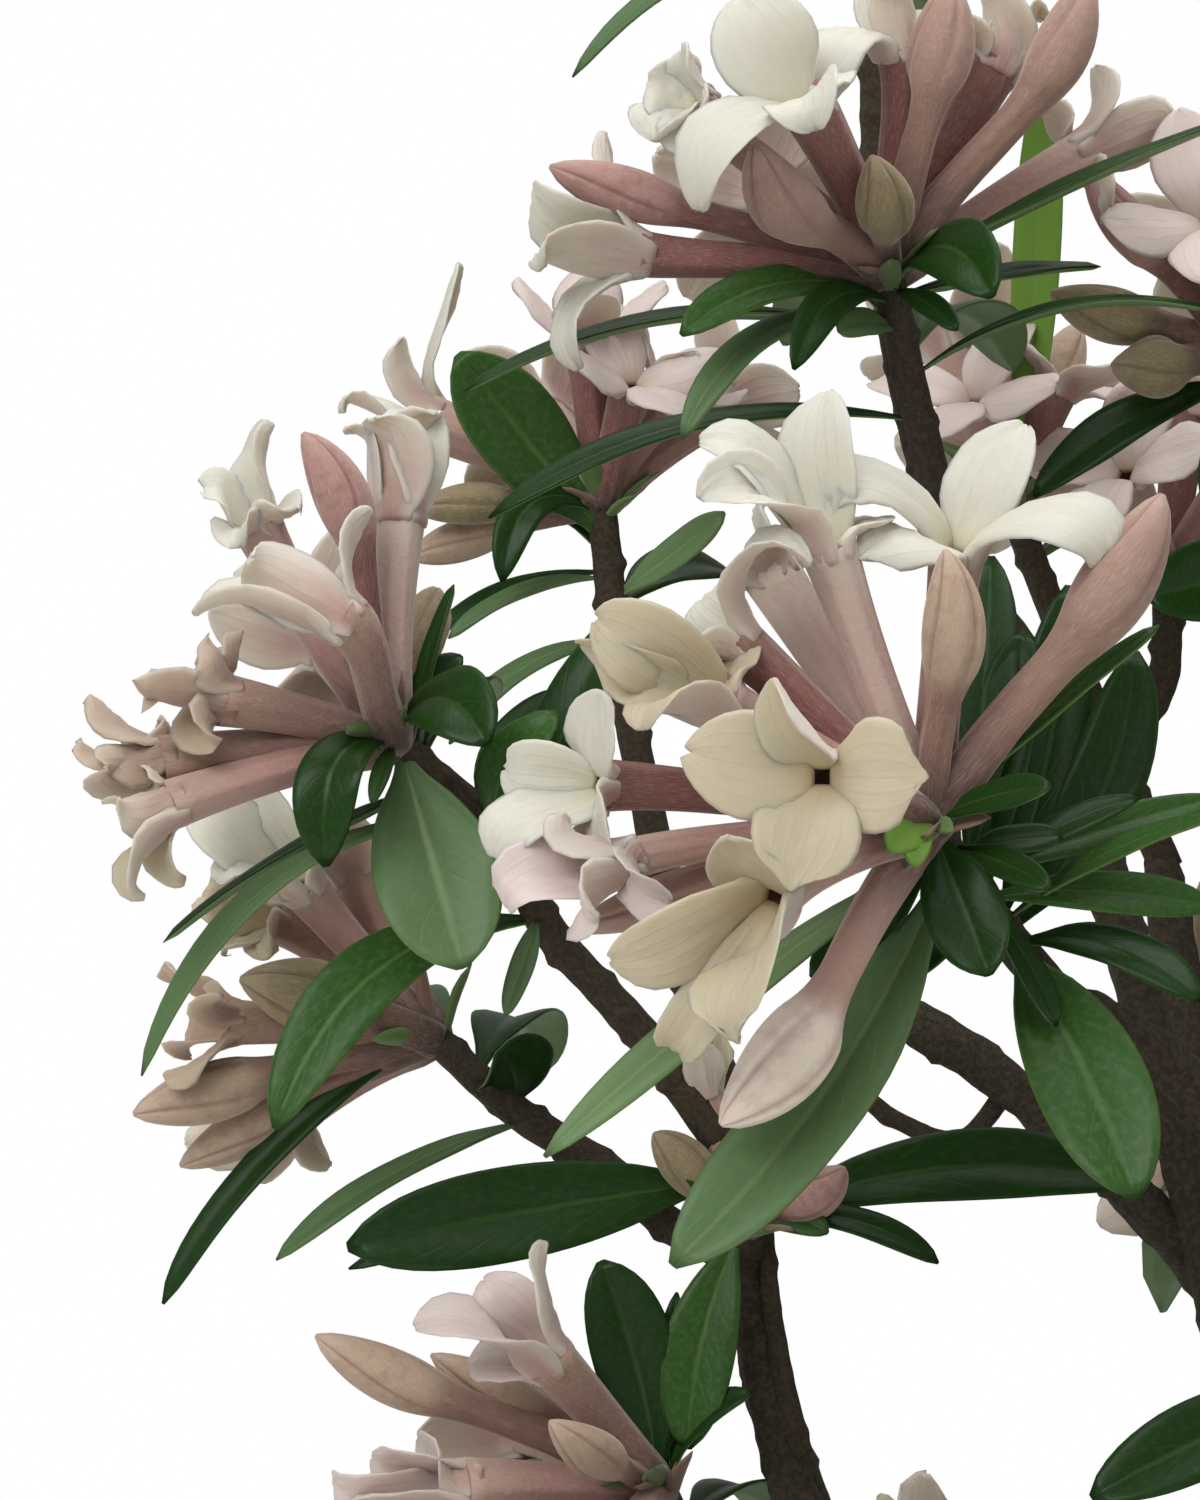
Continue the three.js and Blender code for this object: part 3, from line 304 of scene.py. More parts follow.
                [3, 6.5, 6.5, -3, 0.3, 2.2, 60, DEEP_AND_SHADE], [0.6, -2.6, -2.2, 7, 0.8, 2.6, 60, YOUNG],
                [0.8, -1, -3.2, 7, 0.6, 2, 75, YOUNG], [8, 14, 1, -4, 1, 2, 55, DEEP_AND_SHADE],
                [7, 5.5, 17, -18, 0.5, 4, 76, DEEP_AND_SHADE], [12, 10.5, 15, -16, -1, 4.6, 76, DEEP_AND_SHADE],
                [10, 7.5, 12, -14, 0.5, 4, 70, DEEP_AND_SHADE], [14, 18, -12, -4, 1.5, 3, 60, DEEP_AND_SHADE],
            ],
        },
    ],
    "top": [
        {
            "path": ["tip", [-23.6, 0, 143.2], [-26.8, -6, 152], [-29.6, -12, 163]],
            "blooms": [
                [BUD, -22.8, 6.2, 4, 0.92, "bud_rose", 0.62, 0.95, [-8, 3, 1]],
                [OPEN, -17.2, 0.5, 3, 35, 44, 0.85, "white cream mauve", [-7, 1, 4],
                 [-6.5, 4.5, 0, 5.6, 0.1, 20, 10, 0], [-6, -1.5, 4, 5.6, 0.1, 35, 0, 0],
                 [-3.5, -8, 2, 4.6, 0.2, 55, 0, 0], [-2, 8.5, -3, 3.2, 0.3, 0, 60, 0]],
                [OPEN, -5.8, 9.8, 10, 25, 80, 1.05, "white cream mauve", None,
                 [-4.5, 7, -1, 7.2, 0.1, 5, 0, 0], [-7, -7.5, 3, 6, 0.2, 75, 0, 0],
                 [0.5, -2.5, 6, 5.6, 0.3, 85, 0, 0], [2, 3, -6, 4.6, 0, 20, 0, 0]],
                [OLD, -13.2, 10.5, 5, 20, 50, 0.85, "white cream brown", [-4, 5, 6],
                 [-3, 1.5, -1, 5.4, 0.4, -30, 10, 0], [-0.5, 3.5, 0, 5, 0.5, 10, 40, 0],
                 [-2.5, -3, 2, 5, 0.5, 30, 0, 0], [0.5, -4.5, 3, 4.4, 0.6, 60, -30, 0]],
                [BUD, -9.2, 6.8, 12, 0.95, "bud_pink", 0.45, 1.1, [-2, 7, 4]],
                [BUD, -1.4, 6.4, 9, 0.95, "bud_olive", 0.4, 0.95, [-2.5, 7, 3]],
                [OPEN, 0.7, 14.6, 2, 40, 92, 0.95, "white cream mauve", [-3, 8, 3],
                 [-5.2, -6.4, 4, 6, -0.1, 125, 50, 0], [-1, 4.5, -2, 4, 0.2, 10, 0, 0],
                 [3.5, 2.5, -3, 4.6, 0, 40, 0, 0], [0.5, 3.5, 3, 4, 0.4, 10, 0, 0]],
                [BUD, 4.1, 18.7, 4, 1.1, "bud_pink", 0.62, 0.95, [0.5, 9, 0]],
                [OPEN, 7.8, 13.9, -4, 10, 70, 0.9, "white blush mauve", None,
                 [-1, 5.5, 1, 5.6, 0.1, 0, 0, 0], [-4, 3, 2, 4.8, 0.2, 30, 0, 0],
                 [3.5, 3.5, -1, 5, 0.1, 30, 0, 0], [0.5, 5.5, -3, 5, 0, 0, 0, 0]],
                [BUD, 13.6, 19.4, 1, 1.05, "bud_pink", 0.64, 0.95, [2, 9, 0]],
                [OPEN, 13.9, 8, -7, 30, 70, 0.95, "cream blush pink", None,
                 [7, 2, 0, 4.8, 0.1, 20, 0, 0], [1, 6.5, -2, 5, 0.1, 10, 0, 0],
                 [1.5, -4.5, 3, 5, 0.2, 30, 0, 0], [-2.5, 3.5, -3, 5, 0.1, 20, 0, 0]],
                [OPEN, -8, 6, -12, 10, 70, 1],
                [BUD, 3, 9, -15, 1],
            ],
            "leaves": [
                [3, -14, -5.4, 7, 2.6, 3.6, 40, GREEN], [3, -6.6, -7.8, 9, 2.4, 2.6, 68, DEEP_AND_SHADE],
                [5.4, -28.5, -8.8, 2, 3.2, 3, 12, DEEP_AND_SHADE], [4.4, -13.9, -12.2, 5, 3.4, 2.6, 38, GREY],
                [1.5, 6.5, -3.2, 11, 2.6, 4.6, 62, DEEP_AND_SHADE], [1, 23.5, 9.8, 0, 0.5, 3, 15, DEEP_AND_SHADE],
                [2.5, 15.3, 0.5, -8, 0.5, 2.4, 20, DEEP_AND_SHADE], [8.8, 22.4, -3.2, 0, 2.6, 2, 18, DEEP_AND_SHADE],
                [12, -27, -17.2, -2, 3, 2.8, 32, DEEP_AND_SHADE],
                [5, -6, -4, -22, 5.6, 4, 0], [7, 10, -6, -19, 5.6, 4, 0],
                [5, -3.5, -5, 5, 0.3, 2.2, 60, GREY], [2, 4.5, -5, 6, 0.6, 1.8, 60, DEEP_AND_SHADE],
            ],
        },
        {
            "path": [0.3, [-26.3, 6, 152], [-28.6, 11, 166], [-29, 13, 180], [-28, 14, 190]],
            "blooms": [
                [OPEN, -11, 8, 4, 0, 70, 1], [OPEN, 2, 13, 6, 30, 75, 1], [BUD, -6, 18, -2, 1],
                [OPEN, 10, 9, -3, 20, 70, 1], [OPEN, -4, 10, -10, 0, 70, 1], [BUD, 14, 3, 8, 0.9],
            ],
            "leaves": [
                [2, -23, -11, -2, 4, 1.6, 62, GREY], [3, 20, 3, 4, 5, 4, 30],
                [4, 4, -4, -24, 5.6, 5, 0], [5, -16, 2, -14, 5.6, 4, 0], [2, -4, 2, 21, 5.2, 4, 0],
            ],
        },
    ],
    "back_left": [
        {
            "path": ["tip", [-42.5, 10, 113], [-45.6, 13, 126], [-47.8, 14, 138], [-49, 14, 148.9]],
            "blooms": [
                [OPEN, -12.7, 5, 0, 40, 52, 1.05, "white blush pink", None,
                 [-6, 0.5, 0, 4, 0.3, 20, 0, 0], [-1.5, 6, 1, 4.4, 0.3, -10, 30, 0],
                 [2.5, 11.5, -1, 5.6, -0.2, -5, 0, 0], [0.5, -4.5, 2, 4, 0.3, 60, 0, 0]],
                [OPEN, -0.9, 11.2, 2, 20, 40, 0.8, "pink blush mauve", None],
                [OPEN, 2.5, 7.5, 5, 0, 60, 0.8, "pink blush mauve", None],
                [OPEN, 4.9, 6.4, 0, 0, 40, 0.7, "pink blush pink", None],
                [BUD, -13.4, -1.6, 3, 0.9, "bud_olive", 0.5, 0.8, None],
                [BUD, -13.8, -5, 0, 0.9, "bud_tan", 0.5, 0.8, None],
                [OPEN, 9.4, 6.5, -5, 0, 66, 0.9, "pink blush pink", None],
                [OPEN, -4, 6, -12, 30, 70, 1, "pink blush pink", None],
            ],
            "leaves": [
                [3.5, -10.2, 9.4, 6, 0, 6.2, 84, GREEN], [2, -7, -6.9, 6, 3.6, 2.8, 62, DEEP_AND_SHADE],
                [6.5, -10.9, -10.9, 3, 1.2, 1.8, 30, GREY], [8, 9, -1.8, 3, 0, 2.4, 66, LIGHT],
                [9, 10, -6, -12, 2, 4, 40, DEEP_AND_SHADE], [5, -10, -2, -20, 4, 5, 20, DEEP_AND_SHADE],
                [6, -13, -11, -4, 1, 2, 45, DEEP_AND_SHADE],
                [11, -10.8, -18.5, 4, 2, 2.2, 40, GREY], [15, -8.8, -21.8, 6, 2.4, 2.6, 45, DEEP_AND_SHADE],
            ],
        },
    ],
    "right_top": [
        {
            "path": ["tip", [0, 0.5, 145], [-4.6, 0, 158.7]],
            "blooms": [
                [BUD, -10.9, 11.6, 6, 0.95, "bud_rose", 0.5, 0.9, [-5, 8, 1]],
                [OPEN, -2.6, 7.6, 8, 20, 60, 0.9, "pink blush mauve", None],
                [BUD, -13, 3.2, 2, 1.25, "bud_olive", 0.45, 0.8, [-9, 4, 1]],
                [BUD, -9, -2, 4, 1.2, "bud_olive", 0.45, 0.8, [-9, 2, 1]],
                [OPEN, 6, 12, 4, 0, 76, 1], [OPEN, 12, 4, 5, 30, 76, 1],
                [BUD, 4, 17, -5, 1], [OPEN, 0, 8, -12, 10, 70, 1],
            ],
            "leaves": [
                [5, -1, -14.5, 8, 1.5, 5, 70, DEEP_AND_SHADE], [3, -14, -11, 0, 1.5, 3.4, 60, DEEP_AND_SHADE],
                [16, -6.5, -18.2, 4, 0, 5.4, 80, DEEP_AND_SHADE],
                [3, 18, -8, 12, 5.6, 4, 0], [4, 20, -2, -10, 5.6, 4, 0], [5, 4, -4, -22, 5.6, 4, 0],
            ],
        },
    ],
    "far": [
        {
            "path": ["tip", [-12, 37, 135], [-17.8, 35, 149]],
            "blooms": [
                [OPEN, -3, 7.5, 4, 0, 70, 1, "pink blush pink", None],
                [OPEN, 3.5, 9, 0, 40, 70, 1, "pink blush mauve", None],
                [OPEN, -4, 12, -6, 10, 60, 1, "pink blush pink", None],
                [BUD, 6, 14, -8, 1],
                [OPEN, 0, 4, -13, 10, 70, 1, "pink blush mauve", None],
            ],
            "leaves": [
                [2, 2.5, 33, 4, 0, 3.4, 84, YOUNG], [4, -6, 4, -22, 5.6, 4, 0], [5, 14, -8, -14, 5.6, 4, 0],
            ],
        },
        {
            "path": [0.3, [-6, 38, 135], [-5.5, 37, 144]],
            "blooms": [
                [OPEN, -4, 7, 6, 0, 70, 1, "pink blush pink", None],
                [OPEN, 6, 8, 2, 40, 70, 1, "pink blush pink", None],
                [OPEN, 2, 12, -6, 10, 60, 1],
                [BUD, 12, 12, 0, 1],
                [OPEN, 8, 2, -11, 10, 70, 1, "pink blush mauve", None],
            ],
            "leaves": [[2, 19, -4, 6, 5.6, 4, 0], [4, 12, -4, -20, 5.6, 4, 0], [19, -6, -18, -2, 4, 2, 40]],
        },
    ],
    "inner": [
        {
            "path": ["tip", [2, -29, 92]],
            "blooms": [
                [OPEN, 8, 9, 6, 0, 70, 1], [OPEN, 12, -1, 8, 40, 75, 1],
                [BUD, 4, 17, 2, 1], [OPEN, 2, 5, 13, 10, 80, 1],
            ],
            "leaves": [
                [2, -19.5, -10, 4, 0.5, 5, 60, DEEP_AND_SHADE], [3, 5, -14, 14, 5.6, 4, 0], [3, 17, -10, -8, 5.6, 4, 0],
            ],
        },
    ],
}

# Masses that grow by the seeded rule: how many shoots each has, and how far it reaches from its bough's tip.
GROWN = {
    "right_front": [2, 46],
    "right": [2, 46],
    "right_back": [2, 46],
    "back": [2, 44],
    "front": [2, 44],
    "crown_front": [2, 62],
    "crown_right": [2, 60],
    "crown_back": [2, 62],
    "low_front": [2, 44],
    "low_right_front": [2, 44],
    "low_right": [2, 44],
    "low_back": [2, 44],
    "low_left_back": [2, 42],
    "low_left_side": [1, 44],
}

# Bare twigs: the points that each runs through, its radius at its foot and at its tip.
BARE_TWIGS = (
    [[[-19.5, 5, 106.5], [-23.5, 4.5, 102.5], [-28, 4, 103.8], [-30.5, 4, 105.6]], 0.7, 0.6],
    [[[-37.8, -10.4, 99], [-37.5, -11.2, 94], [-36.9, -10.7, 89], [-35.4, -9.6, 82]], 0.5, 0.9],
    [[[-38.4, -12, 97.5], [-37.2, -12.4, 99.4], [-35.8, -12.6, 100.4]], 0.45, 0.4],
)


# Vectors, curves and chance.


def unit(vector):
    return vector / np.linalg.norm(vector)


def square(wanted, along):
    """The unit vector nearest to wanted that is square to along."""
    off = wanted - along * (wanted @ along)
    if off @ off < 1e-6:
        x, y, z = wanted
        return square(np.array((y + 0.3, z + 0.2, x + 0.7)), along)
    return unit(off)


def squares(wanted, along):
    """As square, for one wanted direction or one a row, against a row of directions."""
    return unit_rows(wanted - along * np.sum(wanted * along, axis=1, keepdims=True))


def directions(spine):
    """The unit direction of a spine at each of its points."""
    return unit_rows(np.gradient(spine, axis=0))


def unit_rows(vectors):
    return vectors / np.maximum(np.linalg.norm(vectors, axis=1, keepdims=True), 1e-9)


def turned(vector, axis, degrees):
    """vector turned about a unit axis."""
    cos, sin = math.cos(math.radians(degrees)), math.sin(math.radians(degrees))
    return vector * cos + np.cross(axis, vector) * sin + axis * (axis @ vector) * (1 - cos)


STREAM_FACTOR, STREAM_STEP = 1664525, 1013904223


def seeded(seed):
    """The construction model's repeatable stream of numbers from 0 to 1."""
    state = seed

    def step():
        nonlocal state
        state = (state * STREAM_FACTOR + STREAM_STEP) % 2**32
        return state / 2**32

    step()
    step()
    return step


def spread_between(random):
    """A function that draws an even number between two limits from a stream."""
    return lambda low, high: low + (high - low) * random()


def eased(share):
    """A share from 0 to 1 that starts and ends gently."""
    share = np.clip(share, 0, 1)
    return share * share * (3 - 2 * share)


def through(knots, at):
    """A smooth line through (place, value) knots, read at some places."""
    x, y = np.array(knots, float).T
    slope = np.gradient(y, x)
    k = np.clip(np.searchsorted(x, at, side="right") - 1, 0, len(x) - 2)
    wide = x[k + 1] - x[k]
    t = (at - x[k]) / wide
    start = (1 + 2 * t) * (1 - t) ** 2 * y[k] + t * (1 - t) ** 2 * wide * slope[k]
    end = t * t * (3 - 2 * t) * y[k + 1] + t * t * (t - 1) * wide * slope[k + 1]
    return start + end


def bezier(points, shares):
    """Points of a Bezier curve of any degree."""
    points = np.array(points, float)
    degree = len(points) - 1
    shares = np.asarray(shares, float)
    weights = [
        math.comb(degree, i) * shares**i * (1 - shares) ** (degree - i) for i in range(degree + 1)
    ]
    return np.stack(weights, -1) @ points


def catmull(points, share):
    """A point of the centripetal Catmull-Rom curve through some points."""
    last = len(points) - 1
    place = last * share
    k = min(int(place), last - 1)
    weight = place - k
    before = points[k - 1] if k > 0 else 2 * points[0] - points[1]
    after = points[k + 2] if k + 2 <= last else 2 * points[last] - points[last - 1]
    near, far = points[k], points[k + 1]
    d0, d1, d2 = (
        max(np.linalg.norm(b - a) ** 0.5, 1e-4) for a, b in ((before, near), (near, far), (far, after))
    )
    m1 = ((near - before) / d0 - (far - before) / (d0 + d1) + (far - near) / d1) * d1
    m2 = ((far - near) / d1 - (after - near) / (d1 + d2) + (after - far) / d2) * d1
    c2 = -3 * near + 3 * far - 2 * m1 - m2
    c3 = 2 * near - 2 * far + m1 + m2
    return near + weight * m1 + weight**2 * c2 + weight**3 * c3


def reaches(spine):
    """How far along a spine each of its points lies."""
    return np.concatenate(([0], np.cumsum(np.linalg.norm(np.diff(spine, axis=0), axis=1))))


def even_spine(points, count=201):
    """Points spaced evenly along the curve through some points, and its length."""
    rough = np.array([catmull(points, share) for share in np.linspace(0, 1, count)])
    reached = reaches(rough)
    places = np.linspace(0, reached[-1], count)
    return np.stack([np.interp(places, reached, rough[:, i]) for i in range(3)], 1), reached[-1]


# Where everything grows.


@lru_cache
def bough_spine(name):
    height, *rest = BOUGHS[name]
    foot = TRUNK_LEAN * (height / TRUNK_HEIGHT)
    return bezier([foot, *rest], np.linspace(0, 1, 81))


def bough_end(name):
    """A bough's tip and the direction in which it ends."""
    spine = bough_spine(name)
    handle = np.array(BOUGHS[name][2], float)
    return spine[-1], unit(spine[-1] - handle)


def out_of_plan(offset):
    """A point from an offset to the right, up and to the front."""
    right, up, near = offset
    return np.array((right, -near, up), float)


def leaned(over, front, roll):
    """A direction turned by roll from over towards front."""
    angle = math.radians(roll)
    return over * math.cos(angle) + front * math.sin(angle)


def arched_leaf(root, tip, arch, width, roll, tone):
    """A leaf whose middle arches and whose face turns from straight up to the front by roll."""
    way = unit(tip - root)
    over = square(UP, way)
    face = leaned(over, square(FRONTWARD, way), roll)
    return SimpleNamespace(root=root, tip=tip, width=width, lift=over * arch, face=face, tone=tone)


def bowed_leaf(root, tip, width, bow, face):
    """A leaf that bows towards its face, in a finish of chance."""
    lift = square(face, unit(tip - root)) * bow
    return SimpleNamespace(root=root, tip=tip, width=width, lift=lift, face=face, tone=None)


def placed_mass(name):
    """The shoots of a listed mass, with every offset turned into a point."""
    shoots = []
    for plan in PLACED[name]:
        start, *rest = plan["path"]
        first = bough_end(name)[0] if start == "tip" else catmull(shoots[0].points, start)
        points = [first, *(np.array(p, float) for p in rest)]
        head = points[-1]
        spine, length = even_spine(points)
        axis = unit(catmull(points, 1) - catmull(points, 1 - 1e-4))
        blooms = []
        for kind, right, up, near, *habit in plan["blooms"]:
            bloom = SimpleNamespace(kind=kind, end=head + out_of_plan((right, up, near)))
            if kind != BUD:
                bloom.spin, bloom.spread, *habit = habit
            bloom.girth, *bloom.look = habit
            blooms.append(bloom)
        leaves = []
        for down, right, up, near, *look in plan["leaves"]:
            root = spine[round(max(0, 1 - down / length) * (len(spine) - 1))]
            tip = head + out_of_plan((right, up, near))
            if len(look) == 4:
                leaves.append(arched_leaf(root, tip, *look))
            else:
                width, bow, roll = look
                leaves.append(bowed_leaf(root, tip, width, bow, leaned(UP, FRONTWARD, roll)))
        shoots.append(SimpleNamespace(
            points=points, spine=spine, head=head, axis=axis, fine=True, blooms=blooms, leaves=leaves
        ))
    return shoots


def grown_shoot(random, start, way, length):
    """One shoot of the seeded rule, with all of its blooms and leaves."""
    between = spread_between(random)
    bend = start + way * length * 0.5
    axis = unit(way + UP * SHOOT_RISE)
    head = bend + axis * length * 0.5
    u = square(UP, axis)
    w = np.cross(axis, u)

    def toward(turn, tilt):
        a, b = math.radians(turn), math.radians(tilt)
        return axis * math.cos(b) + (u * math.cos(a) + w * math.sin(a)) * math.sin(b)

    first = between(0, 360)
    blooms = []
    for i in range(BLOOMS_A_HEAD):
        tilt = TOP_TILT + TILT_RANGE * math.sqrt((i + 0.4) / BLOOMS_A_HEAD)
        out = toward(first + i * GOLDEN_ANGLE + between(-12, 12), tilt)
        kind = BUD if random() < BUD_CHANCE else OPEN
        end = head + out * (BUD_LENGTH if kind == BUD else TUBE_LENGTH) * between(0.85, 1.1)
        spin, spread, girth = between(0, 90), between(55, 90), between(0.9, 1.05)
        blooms.append(SimpleNamespace(
            kind=kind, end=end, spin=spin, spread=spread, girth=girth, look=[]
        ))
    leaves = []
    for i in range(LEAVES_A_HEAD):
        out = toward(first + 60 + i * GOLDEN_ANGLE + between(-15, 15), between(62, 104))
        long = LEAF_LENGTH * between(0.8, 1.15)
        root = head - axis * (1.5 + 0.6 * i)
        tip = root + out * long - UP * LEAF_DROOP * long
        leaves.append(bowed_leaf(root, tip, between(5, 6.6), between(1.5, 4.5), axis))
    spine, _ = even_spine([start, bend, head])
    return SimpleNamespace(spine=spine, head=head, axis=axis, fine=False, blooms=blooms, leaves=leaves)


def grown_mass(name, number):
    """The shoots of a mass that follows the seeded rule, kept to the mass's own space."""
    random = seeded(900 + 37 * number)
    count, reach = GROWN[name]
    tip, way = bough_end(name)
    length = CROWN_SHOOT_LENGTH if name.startswith("crown") else SHOOT_LENGTH
    outward = unit(tip * (1, 1, 0))
    shoots = []
    for i in range(count):
        side = turned(outward, UP, i * 180 + 50 + 40 * random())
        heading = unit(way + SHOOT_OUTWARD * outward + SHOOT_SIDEWARD * side)
        stretch = 0.9 + 0.25 * random()
        shoots.append(grown_shoot(random, tip, heading, length * stretch))

    def inside(point):
        near = np.linalg.norm(point - tip) < reach
        return near and point[2] > LOWEST_LEAF and (point[0] > GROWN_LEFT or point[2] < GROWN_LOW)

    for shoot in shoots:
        shoot.blooms = [bloom for bloom in shoot.blooms if inside(bloom.end)]
        shoot.leaves = [leaf for leaf in shoot.leaves if inside(leaf.tip) and not meets_limb(leaf, name)]
    return shoots


def meets_limb(leaf, own):
    """True if a leaf would cross a bough that isn't its own."""
    line = leaf.root + (leaf.tip - leaf.root) * np.linspace(0.15, 1, 12)[:, None]
    for name in BOUGHS:
        apart = np.linalg.norm(line[:, None] - bough_spine(name)[None], axis=2)
        if name != own and apart.min() < BOUGH_FOOT_RADIUS + LIMB_GAP:
            return True
    return False


@lru_cache
def all_shoots():
    """Every shoot of the plant, ranked within its mass."""
    masses = [placed_mass(name) for name in PLACED]
    masses += [grown_mass(name, number) for number, name in enumerate(GROWN)]
    for shoots in masses:
        for rank, shoot in enumerate(shoots):
            shoot.rank = rank
    return [shoot for shoots in masses for shoot in shoots]


# Closed shapes from rows of points. Each is (points, faces, places on the map, groups of faces).

FRONT, BACK = 0, 1
LEAF_ACROSS = (-1, -0.93, -0.72, -0.42, -0.13, 0, 0.13, 0.42, 0.72, 0.93, 1)
PLAIN_LEAF_ACROSS = (-1, -0.6, 0, 0.6, 1)
LOBE_ACROSS = (-1, -0.9, -0.66, -0.36, -0.12, 0, 0.12, 0.36, 0.66, 0.9, 1)
PLAIN_LOBE_ACROSS = (-1, -0.55, 0, 0.55, 1)
# Half widths along a leaf and a lobe, as shares of the widest.
LEAF_OUTLINE = (
    (0, 0.12), (0.05, 0.14), (0.14, 0.3), (0.28, 0.66), (0.45, 0.93), (0.6, 1), (0.75, 0.93), (0.87, 0.72),
    (0.95, 0.43), (1, 0.1),
)
LOBE_OUTLINE = (
    (0, 0.42), (0.12, 0.56), (0.28, 0.82), (0.42, 0.97), (0.56, 1), (0.7, 0.92), (0.82, 0.74), (0.92, 0.48),
    (0.98, 0.25), (1, 0.12),
)


def blade(spine, normal, half, across, rise, thick, along_share, pull=0):
    """A closed blade over a spine: its two faces meet at its rim. rise, thick and pull have a value for each
    row and column: how far the middle lifts along the normal, the thickness, and a slide along the spine."""
    rows, columns = len(spine), len(across)
    along = directions(spine)
    normal = squares(normal, along)
    side = np.cross(normal, along)
    spread = half[:, None] * np.asarray(across)
    middle = spine[:, None] + side[:, None] * spread[..., None] + normal[:, None] * rise[..., None]
    middle = middle + along[:, None] * (np.zeros((rows, columns)) + pull)[..., None]
    rim = np.ones((rows, columns))
    rim[[0, -1]] = 0
    rim[:, [0, -1]] = 0
    lift = normal[:, None] * (thick * rim / 2)[..., None]
    back = (middle - lift)[1:-1, 1:-1].reshape(-1, 3)
    points = np.concatenate([(middle + lift).reshape(-1, 3), back])
    front_index = np.arange(rows * columns).reshape(rows, columns)
    back_index = front_index.copy()
    back_index[1:-1, 1:-1] = rows * columns + np.arange(len(back)).reshape(rows - 2, columns - 2)
    f, b = front_index, back_index
    front_faces = np.stack([f[:-1, :-1], f[1:, :-1], f[1:, 1:], f[:-1, 1:]], -1).reshape(-1, 4)
    back_faces = np.stack([b[:-1, :-1], b[:-1, 1:], b[1:, 1:], b[1:, :-1]], -1).reshape(-1, 4)
    share = np.broadcast_to(np.asarray(along_share)[:, None], (rows, columns))
    width = np.broadcast_to((np.asarray(across) + 1) / 2, (rows, columns))
    places = np.stack([share, width], -1)
    places = np.concatenate([places.reshape(-1, 2), places[1:-1, 1:-1].reshape(-1, 2)])
    groups = np.repeat([FRONT, BACK], [len(front_faces), len(back_faces)])
    return points, [np.concatenate([front_faces, back_faces])], places, groups


def pipe(spine, radii, along_share, turn=0, reference=UP, ways=None, lined_from=None):
    """A closed round skin over a spine, which ends in a point at both ends. radii has a value for each
    row and side. From row lined_from on it is a second group of faces, such as the lining of a throat."""
    rows, sides = radii.shape
    ways = directions(spine) if ways is None else ways
    u = [square(reference, ways[0])]
    for way in ways[1:]:
        u.append(square(u[-1], way))
    u = np.array(u)
    w = np.cross(ways, u)
    angle = np.arange(sides) / sides * 2 * math.pi + np.zeros((rows, 1)) + np.reshape(turn, (-1, 1))
    out = u[:, None] * np.cos(angle)[..., None] + w[:, None] * np.sin(angle)[..., None]
    ring = spine[:, None] + out * radii[..., None]
    points = np.concatenate([ring.reshape(-1, 3), spine[:1], spine[-1:]])
    index = np.arange(rows * sides).reshape(rows, sides)
    after = np.roll(index, -1, axis=1)
    walls = np.stack([index[:-1], after[:-1], after[1:], index[1:]], -1).reshape(-1, 4)
    foot_cap = np.stack([after[0], index[0], np.full(sides, rows * sides)], -1)
    top_cap = np.stack([index[-1], after[-1], np.full(sides, rows * sides + 1)], -1)
    across = 1 - np.abs(2 * np.arange(sides) / sides - 1)
    share = np.asarray(along_share, float)
    places = np.stack(np.broadcast_arrays(share[:, None], across[None]), -1).reshape(-1, 2)
    places = np.concatenate([places, [[share[0], 0.5], [share[-1], 0.5]]])
    lining = np.arange(rows) >= (rows if lined_from is None else lined_from)
    groups = np.concatenate([np.repeat(lining[:-1], sides), np.zeros(sides), np.full(sides, lining[-1])])
    return points, [walls, foot_cap, top_cap], places, groups.astype(int)


def sized(name):
    """A size of the panel, in millimetres."""
    return getattr(bpy.context.scene.daphne_sizes, name) / MM


class Joined:
    """Many small closed shapes joined into one mesh. Each face has its material and its place on the map."""

    def __init__(self, materials):
        self.materials = list(materials)
        self.points, self.faces, self.places, self.slots = [], [], [], []
        self.count = 0

    def add(self, shape, *materials):
        """Adds a shape whose groups of faces wear these materials, one a group."""
        points, faces, places, groups = shape
        numbers = np.array([self.materials.index(name) for name in materials])
        done = 0
        for block in faces:
            slots = numbers[groups[done : done + len(block)]]
            done += len(block)
            self.faces.append(block + self.count)
            self.slots.append(slots)
            corners = places[block]
            corners[..., 1] = (corners[..., 1] + slots[:, None]) / len(self.materials)
            self.places.append(corners.reshape(-1, 2))
        self.points.append(points)
        self.count += len(points)

    def finish(self, name, replaced, slot):
        """Makes the object, in metres, and lets it stand for the model's nodes."""
        loops = np.concatenate([block.ravel() for block in self.faces])
        sizes = np.concatenate([np.full(len(block), block.shape[1]) for block in self.faces])
        mesh = bpy.data.meshes.new(name)
        mesh.vertices.add(self.count)
        mesh.vertices.foreach_set("co", (np.concatenate(self.points) * MM).astype(np.float32).ravel())
        mesh.loops.add(len(loops))
        mesh.loops.foreach_set("vertex_index", loops.astype(np.int32))
        mesh.polygons.add(len(sizes))
        starts = np.concatenate(([0], np.cumsum(sizes)[:-1]))
        mesh.polygons.foreach_set("loop_start", starts.astype(np.int32))
        mesh.polygons.foreach_set("material_index", np.concatenate(self.slots).astype(np.int32))
        mesh.update(calc_edges=True)
        layer = mesh.uv_layers.new(name=MAP_NAME)
        layer.uv.foreach_set("vector", np.concatenate(self.places).astype(np.float32).ravel())
        mesh.shade_smooth()
        for number, material in enumerate(self.materials):
            mesh.materials.append(finished(material, number, len(self.materials)))
        piece = bpy.data.objects.new(name, mesh)
        bpy.context.scene.collection.objects.link(piece)
        return settle(piece, replaced)


def settle(piece, replaced):
    """Ties a finished piece to the plant's one body and to the nodes that it stands for."""
    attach(piece, ROOT_BODY)
    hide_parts(*replaced)
    return piece


